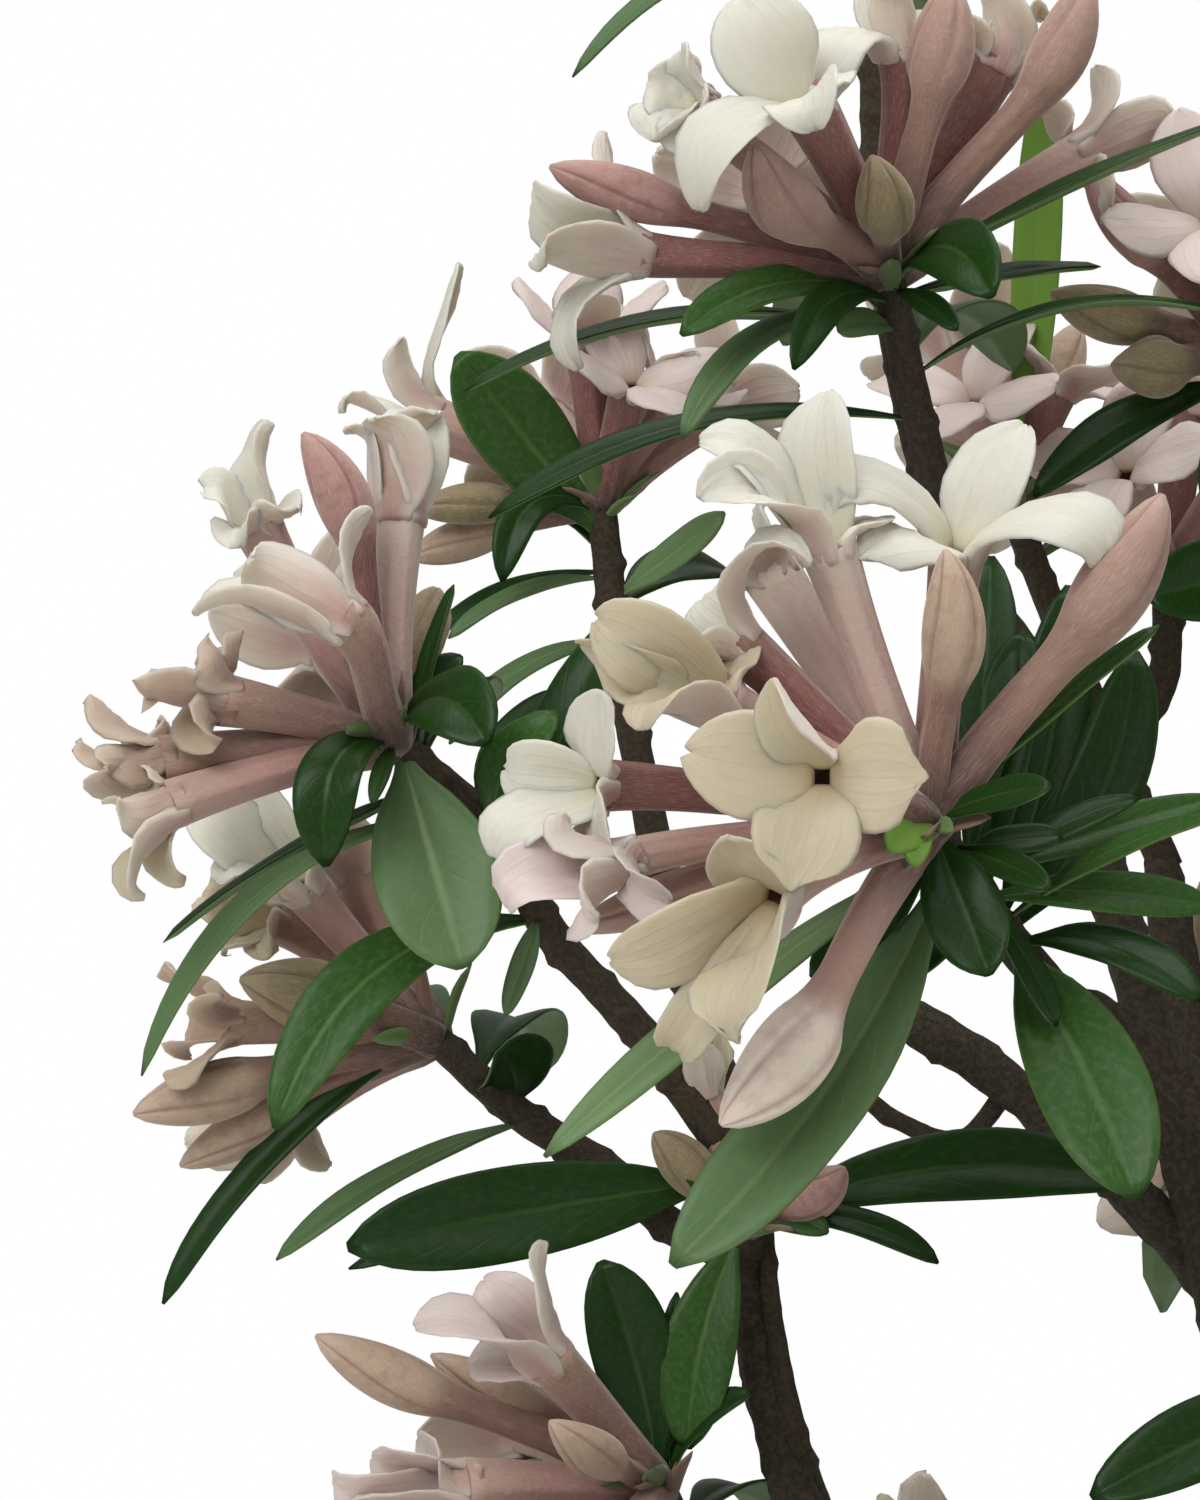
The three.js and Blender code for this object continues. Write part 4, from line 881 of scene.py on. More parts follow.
# Leaves. The depths of a leaf's fold, groove, wave and turned rim are shares of its half width.

LEAF_FOLD, LEAF_GROOVE, LEAF_WAVE, LEAF_RIM_TURN = 0.24, 0.06, 0.08, 0.07
STALK_THICKNESS = 0.75
MIDRIB_THICKNESS = 0.3
LEAF_TONES = (DEEP_AND_SHADE, GREEN, GREY)


def leaf_shape(leaf, fine, random):
    """A thick leaf on a short stalk: a groove over the midrib, sides that fold up and a slight wave."""
    between = spread_between(random)
    columns = LEAF_ACROSS if fine else PLAIN_LEAF_ACROSS
    t = np.linspace(0, 1, 21 if fine else 9)
    v = np.array(columns, float)
    overall = unit(leaf.tip - leaf.root)
    up = square(leaf.face, overall)
    spine = bezier([leaf.root, (leaf.root + leaf.tip) / 2 + 2 * leaf.lift, leaf.tip], t)
    spine = spine + np.cross(up, overall) * (np.sin(t * math.pi) * between(-0.4, 0.4))[:, None]
    normal = squares(up, directions(spine))
    twist = np.radians(between(-14, 14) * (t - 0.4))[:, None]
    normal = normal * np.cos(twist) + np.cross(directions(spine), normal) * np.sin(twist)
    half = leaf.width / 2 * 1.08 * through(LEAF_OUTLINE, t)
    body = eased((t - 0.04) / 0.2)[:, None]
    broad = half[:, None]
    fold = LEAF_FOLD * broad * np.abs(v) ** 1.4 * body
    groove = -LEAF_GROOVE * broad * np.exp(-((v / 0.12) ** 2)) * body
    phase = between(1.1, 1.9) * t[:, None] + between(0, 1) + 0.2 * v
    wave = LEAF_WAVE * broad * np.sin(2 * math.pi * phase) * v**2 * body
    rim_turn = -LEAF_RIM_TURN * broad * np.maximum(np.abs(v) - 0.7, 0) / 0.3 * body
    thick = sized("leaf_thickness") + STALK_THICKNESS * (1 - eased(t / 0.16))
    thick = thick[:, None] * (1 - 0.45 * np.abs(v) ** 3)
    midrib = MIDRIB_THICKNESS * np.exp(-((v / 0.14) ** 2)) * (1 - t)[:, None]
    thick = np.minimum(thick + midrib, 0.9 * broad)
    rise = fold + groove + wave + rim_turn - midrib / 2
    return blade(spine, normal, half, columns, rise, thick, t)


def add_leaves(heap, shoots):
    random = seeded(4101)
    for shoot in shoots:
        for leaf in shoot.leaves:
            tone = LEAF_TONES[int(random() * len(LEAF_TONES))]
            heap.add(leaf_shape(leaf, shoot.fine, random), leaf.tone or tone, "leaf_under")


# Blooms.

TUBE_PROFILE = ((0, 0.62), (0.1, 0.76), (0.3, 0.74), (0.6, 0.8), (0.85, 0.93), (1, 1.02))
MOUTH_BEND = 0.22  # the share of its length over which a tube bends to the way that its mouth faces
LOBE_FLARE = 18  # the angle at which lobes leave the mouth
LOBE_BEND = 0.3  # the share of a lobe over which it bends out
LOBE_DEPTH = 0.9  # how far below the mouth a lobe is rooted
ARCH_FROM = 45  # the end angle from which a listed lobe arches over
LOBE_REACH = 0.58  # how far from the throat's middle it is rooted, as a share of the mouth's radius
LOBE_FOOT_THICKNESS = 0.45
LOBE_CREASE = 0.2
LOBE_PUCKER = 0.09
LOBE_WAVE, OLD_WAVE = 0.22, 0.6
OLD_BREADTH = 0.8
OUTER_PAIR, INNER_PAIR = (1.04, 1.05), (0.95, 0.92)  # shares of a lobe's length and breadth
TUBE_BOW = 0.05
THROAT_DEPTHS = np.array((-0.02, 0.5, 1.6, 3.0))
THROAT_WIDTHS = np.array((0.88, 0.5, 0.42, 0.3))  # shares of the mouth's radius


def grown_lobe_spine(mouth, along, radius, habit, t):
    """The middle of a lobe that leaves the mouth, bends out to its spread and curls on to its tip, with the
    lobe's sideways direction."""
    turn = math.radians(habit.turn)
    u = square(UP, along)
    out = u * math.cos(turn) + np.cross(along, u) * math.sin(turn)
    lean = LOBE_FLARE + (habit.spread - LOBE_FLARE) * eased(t / LOBE_BEND)
    lean = np.radians(lean + habit.curl * np.maximum(t - 0.25, 0) ** 1.6)
    gaps = np.diff(t, prepend=0) * habit.length
    middle = np.concatenate(([lean[0]], (lean[1:] + lean[:-1]) / 2))
    rise_along = np.cumsum(np.cos(middle) * gaps) - LOBE_DEPTH
    reach = radius * LOBE_REACH + np.cumsum(np.sin(middle) * gaps)
    side = np.cross(along, out)
    spine = mouth + along * rise_along[:, None] + out * reach[:, None]
    return spine + side * (habit.sway * t**2 * habit.length)[:, None], side


def spread_feet(aims, along):
    """Where four aimed lobes stand round a mouth: a quarter turn apart, and each as near as it can be to
    its own aim, as unit vectors."""
    u = square(UP, along)
    w = np.cross(along, u)
    turns = np.array([math.atan2(aim @ w, aim @ u) for aim in aims])
    order = np.argsort(turns)
    off = turns[order] - np.arange(4) * math.pi / 2
    first = math.atan2(np.sin(off).sum(), np.cos(off).sum())
    stands = np.empty(4)
    stands[order] = first + np.arange(4) * math.pi / 2
    return [u * math.cos(turn) + w * math.sin(turn) for turn in stands]


def aimed_lobe_spine(mouth, along, radius, habit, t):
    """The middle of a lobe that stands by the mouth and ends at a listed tip, with its sideways
    direction at each point."""
    tip = mouth + habit.aim
    out = square(habit.aim, along)
    foot = mouth - along * LOBE_DEPTH + habit.stand * radius * LOBE_REACH
    long = np.linalg.norm(tip - foot)
    curl = math.radians(habit.curl)
    arch = max(habit.curl - ARCH_FROM, 0) / 90
    ending = out * math.cos(curl) - along * math.sin(curl)
    leaving = foot + along * (0.3 + 0.5 * arch) * long + habit.stand * 0.1 * long
    arriving = tip - ending * (0.42 + 0.4 * arch) * long
    share = eased(t / 0.7)[:, None]
    side = np.cross(along, habit.stand) * (1 - share) + np.cross(along, out) * share
    return bezier([foot, leaving, arriving, tip], t), side


def lobe_shape(mouth, along, radius, habit, fine):
    """One fleshy lobe: thick where it closes round the throat, thinner to its rim and its tip."""
    columns = LOBE_ACROSS if fine else PLAIN_LOBE_ACROSS
    t = 0.5 - 0.5 * np.cos(np.linspace(0, 1, 14 if fine else 7) * math.pi)
    v = np.array(columns, float)
    place = grown_lobe_spine if habit.aim is None else aimed_lobe_spine
    spine, side = place(mouth, along, radius, habit, t)
    ways = directions(spine)
    normal = unit_rows(np.cross(ways, side))
    side = np.cross(normal, ways)
    twist = np.radians(habit.twist * eased(t))[:, None]
    normal = normal * np.cos(twist) + side * np.sin(twist)
    half = habit.breadth / 2 * through(LOBE_OUTLINE, t)
    open_share = eased(t / 0.35)[:, None]
    cup = habit.roll * half[:, None] * v**2 * open_share
    crease = -LOBE_CREASE * np.exp(-((v / 0.2) ** 2)) * (1 - t[:, None] * 0.7) * open_share
    phase = 1.4 * t[:, None] + habit.phase + 0.35 * v
    wave = habit.wave * np.sin(2 * math.pi * phase) * np.abs(v) * t[:, None]
    pucker = 2.6 * t[:, None] + 1.3 * v + 2 * habit.phase
    pucker = LOBE_PUCKER * np.sin(2 * math.pi * pucker) * open_share
    base = radius * LOBE_FOOT_THICKNESS * (1 - eased(t / 0.3))[:, None]
    thick = base + sized("lobe_thickness") * (1 - 0.72 * np.abs(v) ** 3) * (1.1 - 0.5 * t[:, None])
    nick = (1 - np.abs(v)) ** 1.5 if habit.notch > 0 else np.abs(v) ** 2
    pull = -abs(habit.notch) * habit.length * nick * eased((t - 0.72) / 0.28)[:, None]
    return blade(spine, normal, half, columns, cup + crease + wave + pucker, thick, t, pull)


def lobe_habits(bloom, along, random, plans):
    """How each of a bloom's four lobes grows: an outer pair and a slightly smaller inner pair."""
    between = spread_between(random)
    aims = [out_of_plan(plan[:3]) for plan in plans]
    stands = spread_feet(aims, along) if plans else []
    habits = []
    for i in range(4):
        long, broad = INNER_PAIR if i % 2 else OUTER_PAIR
        habit = SimpleNamespace(
            aim=None,
            turn=bloom.spin + 90 * i + between(-6, 6),
            length=sized("lobe_length") * bloom.girth * long * between(0.94, 1.06),
            breadth=sized("lobe_breadth") * bloom.girth * broad * between(0.92, 1.06),
            spread=bloom.spread + between(-9, 9),
            curl=between(0, 55),
            roll=between(-0.42, 0.12),
            twist=between(-16, 16),
            sway=between(-0.08, 0.08),
            wave=LOBE_WAVE,
            phase=between(0, 1),
            notch=0.0,
        )
        if bloom.kind == OLD:
            habit.breadth *= OLD_BREADTH
            habit.curl = between(-120, 170)
            habit.roll = between(-0.9, 0.9)
            habit.twist = between(-70, 70)
            habit.wave = OLD_WAVE
        if plans:
            habit.aim, habit.stand = aims[i], stands[i]
            habit.breadth, habit.roll, habit.curl, habit.twist, habit.notch = plans[i][3:]
            habit.length = np.linalg.norm(habit.aim)
        habits.append(habit)
    return habits


def tube_spine(root, end, axis, rows, facing, bend):
    """The middle of a bloom's tube, which leaves its head a little along the shoot, bows out, and bends
    to the way that it faces over a share of its length."""
    length = np.linalg.norm(end - root)
    bow = square(axis, unit(end - root)) * TUBE_BOW * length
    points = [root, root + (end - root) * 0.45 + bow, end]
    if facing:
        points.insert(2, end - unit(out_of_plan(facing)) * bend * length)
    return bezier(points, np.linspace(0, 1, rows))


def tube_shape(shoot, bloom, facing, random):
    """A downy ribbed tube with a hollow throat, and its mouth with its direction and radius."""
    between = spread_between(random)
    root = shoot.head - shoot.axis * ROOT_DEPTH
    rows, sides = (15, 20) if shoot.fine else (8, 8)
    outer = tube_spine(root, bloom.end, shoot.axis, rows, facing, MOUTH_BEND)
    along = unit(outer[-1] - outer[-2])
    radius = sized("mouth_radius") * (0.45 + 0.55 * bloom.girth) * between(0.92, 1.06)
    t = np.linspace(0, 1, rows)
    angle = np.arange(sides) / sides * 2 * math.pi
    ribs = 1 + 0.06 * np.cos(4 * angle) * (0.4 + 0.6 * t[:, None])
    ribs = ribs + 0.03 * np.cos(8 * angle + 1 + t[:, None])
    walls = radius * through(TUBE_PROFILE, t)[:, None] * ribs
    throat = radius * THROAT_WIDTHS[:, None] * np.ones(sides)
    spine = np.concatenate([outer, outer[-1] - along * THROAT_DEPTHS[:, None]])
    ways = np.concatenate([directions(outer), np.repeat([along], len(throat), axis=0)])
    share = np.concatenate([0.95 * t, np.linspace(0.96, 1, len(throat))])
    radii = np.concatenate([walls, throat])
    shape = pipe(spine, radii, share, reference=shoot.axis, ways=ways, lined_from=rows - 1)
    return shape, outer[-1], along, radius


def chance_tones(bloom, random):
    """The finishes of a bloom that isn't set apart: its lobes' faces and backs, and its tube."""
    if bloom.kind == OLD:
        return "old old brown"
    face = "white" if random() < 0.5 else "cream"
    back = "blush" if random() < 0.45 else "cream"
    return f"{face} {back} {'mauve' if random() < 0.4 else 'pink'}"


def add_blooms(lobes, tubes, shoots):
    for number, shoot in enumerate(shoots):
        random = seeded(7000 + 13 * number)
        for bloom in shoot.blooms:
            if bloom.kind == BUD:
                continue
            chance = chance_tones(bloom, random)
            tones, facing, *plans = bloom.look or [chance, None]
            face, back, tube = tones.split()
            shape, mouth, along, radius = tube_shape(shoot, bloom, facing, random)
            tubes.add(shape, f"tube_{tube}", "throat")
            for habit in lobe_habits(bloom, along, random, plans):
                lobe = lobe_shape(mouth, along, radius, habit, shoot.fine)
                lobes.add(lobe, f"petal_{face}", f"petal_{back}_back")


# Buds.

BUD_BEND = 0.42  # the share of its length over which a bud bends to the way that its tip points
BUD_PROFILE = (
    (0, 0.54), (0.1, 0.58), (0.3, 0.55), (0.46, 0.58), (0.53, 0.72), (0.6, 0.9), (0.7, 1), (0.8, 0.94),
    (0.88, 0.76), (0.94, 0.52), (0.98, 0.28), (1, 0.08),
)
BUD_STOUTNESS = 0.95
TONE_BIAS = 1.3  # above 1, the first tones are commoner
BUD_TONES = ("bud_pink", "bud_rose", "bud_tan", "bud_olive", "bud_pale")


def bud_shape(shoot, bud, neck, stout, facing, random):
    """A bud: a slim tube that swells from its neck on to a pointed body of four folded lobes, an outer
    pair over an inner one. Its map has every neck in the same place, and the seams a quarter and three
    quarters across."""
    between = spread_between(random)
    rows, sides = (40, 48) if shoot.fine else (13, 12)
    root = shoot.head - shoot.axis * ROOT_DEPTH
    spine = tube_spine(root, bud.end, shoot.axis, rows, facing, BUD_BEND)
    t = np.interp(np.linspace(0, 1, rows), (0, neck, 1), (0, BUD_NECK, 1))
    widest = sized("bud_radius") * stout * bud.girth * between(0.95, 1.04)
    radius = widest * through(BUD_PROFILE, t)
    angle = np.arange(sides) / sides * 2 * math.pi
    turn = between(0, 2 * math.pi) + 1.2 * t
    swollen = eased((t - BUD_NECK) / 0.12)[:, None]
    lap = np.cos(2 * angle)
    seam = np.exp(-((lap / 0.24) ** 2)) * (0.09 + 0.12 * eased((t[:, None] - 0.7) / 0.25))
    folds = 0.05 * np.tanh(6 * lap) - seam + 0.04 * np.sin(angle + 3 * t[:, None])
    ribs = 0.035 * np.cos(4 * angle) + 0.02 * np.cos(7 * angle + 1)
    bend = folds * swollen + ribs * (1 - swollen)
    return pipe(spine, radius[:, None] * (1 + bend), t, turn=turn, reference=shoot.axis)


def add_buds(heap, shoots):
    random = seeded(5200)
    for shoot in shoots:
        for bud in shoot.blooms:
            if bud.kind != BUD:
                continue
            chance = BUD_TONES[int(random() ** TONE_BIAS * len(BUD_TONES))]
            tone, *look = bud.look or [chance, BUD_NECK, BUD_STOUTNESS, None]
            heap.add(bud_shape(shoot, bud, *look, random), tone)


# Twigs.

SCAR_GAP = 2.6
SCAR_LENGTH = 0.5
SCAR_SWELL = 0.26
STREAK_COUNT = 2.2
GRAIN_DEPTH = 0.1
TWIG_SUNK = 1.2  # how deep a mass's first twig is rooted in its bough's tip


def bark_noise(x, y, along, fine, long):
    """Noise on a limb, with about fine bumps a millimetre across it and long ones a millimetre along."""
    return noise.noise(Vector((x * fine, y * fine, along * long)))


def grain(spine, radii):
    """radii with bark streaks that run along the limb, and small pits."""
    rows, sides = radii.shape
    rough = np.empty((rows, sides))
    reached = reaches(spine)
    for i in range(rows):
        for j in range(sides):
            a = j / sides * 2 * math.pi
            x, y = math.cos(a) * STREAK_COUNT, math.sin(a) * STREAK_COUNT
            rough[i, j] = bark_noise(x, y, reached[i], 1, 0.22) + 0.5 * bark_noise(x, y, reached[i], 2.5, 0.9)
    return radii + GRAIN_DEPTH * rough


def twig_shape(points, foot, tip, fine, random):
    """A twig along some evenly spaced points, ringed with the scars of fallen leaves."""
    between = spread_between(random)
    length = np.linalg.norm(np.diff(points, axis=0), axis=1).sum()
    rows, sides = (max(8, int(length / 0.3)), 16) if fine else (max(6, int(length / 1.1)), 8)
    at = np.linspace(0, len(points) - 1, rows)
    spine = np.stack([np.interp(at, np.arange(len(points)), points[:, i]) for i in range(3)], 1)
    t = np.linspace(0, 1, rows)
    radii = np.repeat((foot + (tip - foot) * t)[:, None], sides, axis=1)
    angle = np.arange(sides) / sides * 2 * math.pi
    place = between(0.5, SCAR_GAP)
    turn = between(0, 360)
    while place < length - 0.5:
        facing = np.maximum(np.cos(angle - math.radians(turn)), 0) ** 1.5
        swell = np.exp(-(((t * length - place) / SCAR_LENGTH) ** 2))
        radii = radii + SCAR_SWELL * foot * swell[:, None] * facing
        place += SCAR_GAP * between(0.55, 1.4)
        turn += GOLDEN_ANGLE
    return pipe(spine, grain(spine, radii), t)


def add_twigs(heap, shoots):
    random = seeded(6100)
    foot, tip = sized("twig_foot"), sized("twig_tip")
    for shoot in shoots:
        spine = shoot.spine
        if shoot.rank == 0:
            spine = np.concatenate([[spine[0] - unit(spine[1] - spine[0]) * TWIG_SUNK], spine])
        heap.add(twig_shape(spine, foot, tip, shoot.fine, random), "young_bark")
    for points, foot, tip in BARE_TWIGS:
        spine, _ = even_spine([np.array(p, float) for p in points])
        heap.add(twig_shape(spine, foot, tip, True, random), "young_bark")


BRACTS_A_HEAD = 9
BRACT_THICKNESS = 0.3
BRACT_BREADTH = 0.16  # half of it, as a share of the length
BRACT_OUTLINE = ((0, 0.5), (0.3, 0.9), (0.55, 1), (0.8, 0.7), (1, 0.12))


def add_bracts(heap, shoots):
    """Small pointed bracts and young leaves round the foot of each head."""
    random = seeded(8300)
    between = spread_between(random)
    for shoot in shoots:
        u = square(UP, shoot.axis)
        first = between(0, 360)
        for i in range(BRACTS_A_HEAD):
            out = turned(u, shoot.axis, first + i * GOLDEN_ANGLE)
            long = between(3.2, 6.5)
            way = unit(out * between(0.5, 1) + shoot.axis * between(0.3, 0.9))
            root = shoot.head - shoot.axis * between(0.6, 2.4) + out * 0.5
            t = np.linspace(0, 1, 6)
            spine = bezier([root, root + (way + shoot.axis * 0.2) * long / 2, root + way * long], t)
            normal = squares(shoot.axis, directions(spine))
            half = long * BRACT_BREADTH * through(BRACT_OUTLINE, t)
            rise = 0.3 * half[:, None] * np.array(PLAIN_LOBE_ACROSS) ** 2
            thick = np.full(rise.shape, BRACT_THICKNESS)
            tone = "bract_green" if i % 3 else "bract_brown"
            heap.add(blade(spine, normal, half, PLAIN_LOBE_ACROSS, rise, thick, t), tone, tone)


# Materials. Patterns follow each piece's own map: along the shape, and across it in the band of its material.


class Finish:
    """A material with a Principled shader, and short ways to chain nodes."""

    def __init__(self, name):
        self.material = bpy.data.materials.new(name)
        self.material.use_nodes = True
        self.tree = self.material.node_tree
        self.shader = self.tree.nodes["Principled BSDF"]

    def wear(self, **sockets):
        """Sets constants on the shader's own sockets."""
        for socket, value in sockets.items():
            self.shader.inputs[socket.replace("_", " ")].default_value = value

    def feed(self, socket, value):
        if isinstance(value, bpy.types.NodeSocket):
            self.tree.links.new(value, socket)
        else:
            socket.default_value = value

    def math(self, operation, *values):
        node = self.tree.nodes.new("ShaderNodeMath")
        node.operation = operation
        for socket, value in zip(node.inputs, values):
            self.feed(socket, value)
        return node.outputs[0]

    def ease(self, value, low, high, start=0.0, end=1.0):
        """value from low to high, eased into start to end."""
        node = self.tree.nodes.new("ShaderNodeMapRange")
        node.interpolation_type = "SMOOTHSTEP"
        for socket, number in zip(node.inputs, (value, low, high, start, end)):
            self.feed(socket, number)
        return node.outputs[0]

    def mix(self, share, one, other):
        """A share of another colour over one. The node's sockets for colours are 6, 7 and output 2."""
        node = self.tree.nodes.new("ShaderNodeMix")
        node.data_type = "RGBA"
        self.feed(node.inputs[0], share)
        self.feed(node.inputs[6], one)
        self.feed(node.inputs[7], other)
        return node.outputs[2]

    def on_map(self, number, count):
        """How far along the shape, and how far across it from 0 to 1, in band number of count."""
        node = self.tree.nodes.new("ShaderNodeUVMap")
        node.uv_map = MAP_NAME
        split = self.tree.nodes.new("ShaderNodeSeparateXYZ")
        self.tree.links.new(node.outputs[0], split.inputs[0])
        across = self.math("SUBTRACT", self.math("MULTIPLY", split.outputs[1], float(count)), float(number))
        return split.outputs[0], across

    def off_middle(self, across):
        """How far off the middle line a place lies, from 0 there to 1 at both rims."""
        return self.math("ABSOLUTE", self.math("MULTIPLY_ADD", across, 2.0, -1.0))

    def waves(self, operation, value, half_turns):
        """The sine or cosine of this many half turns for each 1 of a value."""
        return self.math(operation, self.math("MULTIPLY", value, math.pi * half_turns))

    def blotches(self, along, across, length_count, width_count):
        """Noise on the map, with about these numbers of bumps along and across a shape."""
        place = self.tree.nodes.new("ShaderNodeCombineXYZ")
        self.feed(place.inputs[0], self.math("MULTIPLY", along, length_count))
        self.feed(place.inputs[1], self.math("MULTIPLY", across, width_count))
        node = self.tree.nodes.new("ShaderNodeTexNoise")
        node.inputs["Scale"].default_value = 1.0
        self.tree.links.new(place.outputs[0], node.inputs["Vector"])
        return node.outputs[0]

    def noise(self, scale, detail=3.0):
        """Noise on the object's own coordinates, with about scale bumps a metre."""
        place = self.tree.nodes.new("ShaderNodeTexCoord")
        node = self.tree.nodes.new("ShaderNodeTexNoise")
        node.inputs["Scale"].default_value = scale
        node.inputs["Detail"].default_value = detail
        self.tree.links.new(place.outputs["Object"], node.inputs["Vector"])
        return node.outputs[0]

    def relief(self, height, strength, distance):
        node = self.tree.nodes.new("ShaderNodeBump")
        node.inputs["Strength"].default_value = strength
        node.inputs["Distance"].default_value = distance
        self.feed(node.inputs["Height"], height)
        self.tree.links.new(node.outputs[0], self.shader.inputs["Normal"])


def linear(screen):
    """A linear share of light from a screen value of 0 to 1."""
    return screen / 12.92 if screen < 0.04 else ((screen + 0.055) / 1.055) ** 2.4


def shade(*screen):
    """A linear colour with alpha from a screen colour of three numbers from 0 to 255."""
    return (*(linear(c / 255) for c in screen), 1)


def leaf_finish(tone, rib, rim, rough):
    """A thick glossy leaf: paler midrib, side veins and rim, and pale blotches of painted sheen."""

    def make(finish, along, across):
        finish.wear(Roughness=rough, Specular_IOR_Level=0.16, Coat_Weight=0.06, Coat_Roughness=0.24)
        off = finish.off_middle(across)
        strength = finish.ease(along, 1.0, 0.3, 0.1, 0.42)
        midrib = finish.math("MULTIPLY", finish.ease(off, 0.09, 0.02), strength)
        veins = finish.waves("SINE", finish.math("MULTIPLY_ADD", off, -0.28, along), 16)
        veins = finish.math("MULTIPLY", finish.ease(veins, 0.8, 1.0), finish.ease(off, 0.95, 0.5))
        # Painted sheen: pale blotches stand for the light on the leaf's dimpled surface.
        painted_sheen_mottle = finish.ease(finish.blotches(along, across, 34.0, 12.0), 0.42, 0.7, 0.0, 0.16)
        body = finish.mix(finish.math("MULTIPLY", veins, 0.05), finish.mix(painted_sheen_mottle, tone, rim), rib)
        body = finish.mix(midrib, body, rib)
        body = finish.mix(finish.ease(off, 0.92, 0.99, 0.0, 0.35), body, rim)
        finish.relief(finish.math("MULTIPLY_ADD", veins, -0.5, finish.noise(700.0, 1.0)), 0.15, 0.0002)
        return body

    return make


def lobe_finish(tip, base, vein, blush, sheen=0.15):
    """A fleshy lobe: its base colour fades towards its tip and rim, and fine veins run along it."""

    def make(finish, along, across):
        finish.wear(Roughness=0.55, Subsurface_Weight=0.35, Subsurface_Scale=0.0012)
        finish.wear(Subsurface_Radius=(1.0, 0.75, 0.55), Sheen_Weight=sheen, Sheen_Roughness=0.5)
        off = finish.off_middle(across)
        veins = finish.waves("COSINE", off, 7)
        veins = finish.math("MULTIPLY", finish.ease(veins, 0.3, 1.0), finish.ease(off, 1.0, 0.6))
        flush = finish.math("MULTIPLY", finish.ease(along, blush, 0.0), finish.ease(off, 1.15, 0.2))
        body = finish.mix(flush, tip, base)
        strength = finish.ease(along, 1.0, 0.1, 0.0, 0.07)
        body = finish.mix(finish.math("MULTIPLY", veins, strength), body, vein)
        finish.relief(finish.math("MULTIPLY_ADD", veins, 0.5, finish.noise(1400.0)), 0.3, 0.00015)
        return body

    return make


def downy(finish, body, along, across):
    """The short pale down on tubes and buds, over a body colour."""
    finish.wear(Roughness=0.75, Subsurface_Weight=0.15, Subsurface_Scale=0.0008)
    finish.wear(Sheen_Weight=0.6, Sheen_Roughness=0.45, Sheen_Tint=shade(238, 220, 210))
    down = finish.ease(finish.blotches(along, across, 24.0, 60.0), 0.4, 0.74, 0.0, 0.2)
    return finish.mix(down, body, shade(216, 196, 184))


def tube_finish(foot, middle, mouth, rib):
    """A downy tube, dark at its foot, partly its own red-brown and partly painted shade where the tubes crowd
    at the head; paler towards its mouth, with paler ribs.
    """

    def make(finish, along, across):
        # The dark foot is partly the tube's own red-brown and partly painted shade where the tubes crowd at
        # the head.
        body = finish.mix(finish.ease(along, 0.03, 0.4), foot, middle)
        body = finish.mix(finish.ease(along, 0.55, 1.0), body, mouth)
        ribs = finish.waves("COSINE", across, 8)
        body = finish.mix(finish.ease(ribs, -0.6, 1.0, 0.0, 0.22), body, rib)
        patches = finish.ease(finish.blotches(along, across, 14.0, 5.0), 0.45, 0.7, 0.0, 0.3)
        body = finish.mix(patches, body, rib)
        finish.relief(finish.math("MULTIPLY_ADD", ribs, 0.4, finish.noise(2600.0)), 0.45, 0.0002)
        return downy(finish, body, along, across)

    return make


def bud_finish(foot, body_tone, tip):
    """A bud: its tube darker, darkest at the neck's foot, partly its own colour and partly painted shade
    where the necks crowd at the head; its body paler, with faint lengthways veins, painted shade along its
    seams, and a paler tip.
    """

    def make(finish, along, across):
        # Partly the bud's own colour and partly painted shade: darkest at the neck's foot, where the necks
        # crowd at the head.
        neck = finish.mix(finish.ease(along, 0.0, 0.34), shade(68, 46, 40), foot)
        body = finish.mix(finish.ease(along, BUD_NECK - 0.04, BUD_NECK + 0.1), neck, body_tone)
        body = finish.mix(finish.ease(along, 0.86, 1.0, 0.0, 0.7), body, tip)
        veins = finish.waves("COSINE", across, 6)
        patches = finish.ease(finish.blotches(along, across, 16.0, 5.0), 0.45, 0.7, 0.0, 0.3)
        body = finish.mix(patches, body, foot)
        # Painted shade: the body darkens to the foot colour along the four seam creases.
        side = finish.math("ABSOLUTE", finish.math("SUBTRACT", across, 0.5))
        side = finish.math("ABSOLUTE", finish.math("SUBTRACT", side, 0.25))
        seam = finish.ease(side, 0.05, 0.0, 0.0, 0.5)
        seam = finish.math("MULTIPLY", seam, finish.ease(along, BUD_NECK, BUD_NECK + 0.2))
        body = finish.mix(seam, downy(finish, body, along, across), foot)
        finish.relief(finish.math("MULTIPLY_ADD", veins, 0.3, finish.noise(2600.0)), 0.4, 0.0002)
        return body

    return make


def plain_finish(tone, **sockets):
    """A soft skin of one colour with a fine grain."""

    def make(finish, along, across):
        finish.wear(**sockets)
        finish.relief(finish.noise(1500.0), 0.3, 0.0002)
        return tone

    return make


def bark_finish(dark, light, scale):
    """Bark in dark and light patches, with cracks and pores."""

    def make(finish, along, across):
        finish.wear(Roughness=0.82)
        finish.relief(finish.noise(scale * 3.5, 6.0), 0.8, 0.0004)
        return finish.mix(finish.ease(finish.noise(scale, 6.0), 0.38, 0.66), dark, light)

    return make


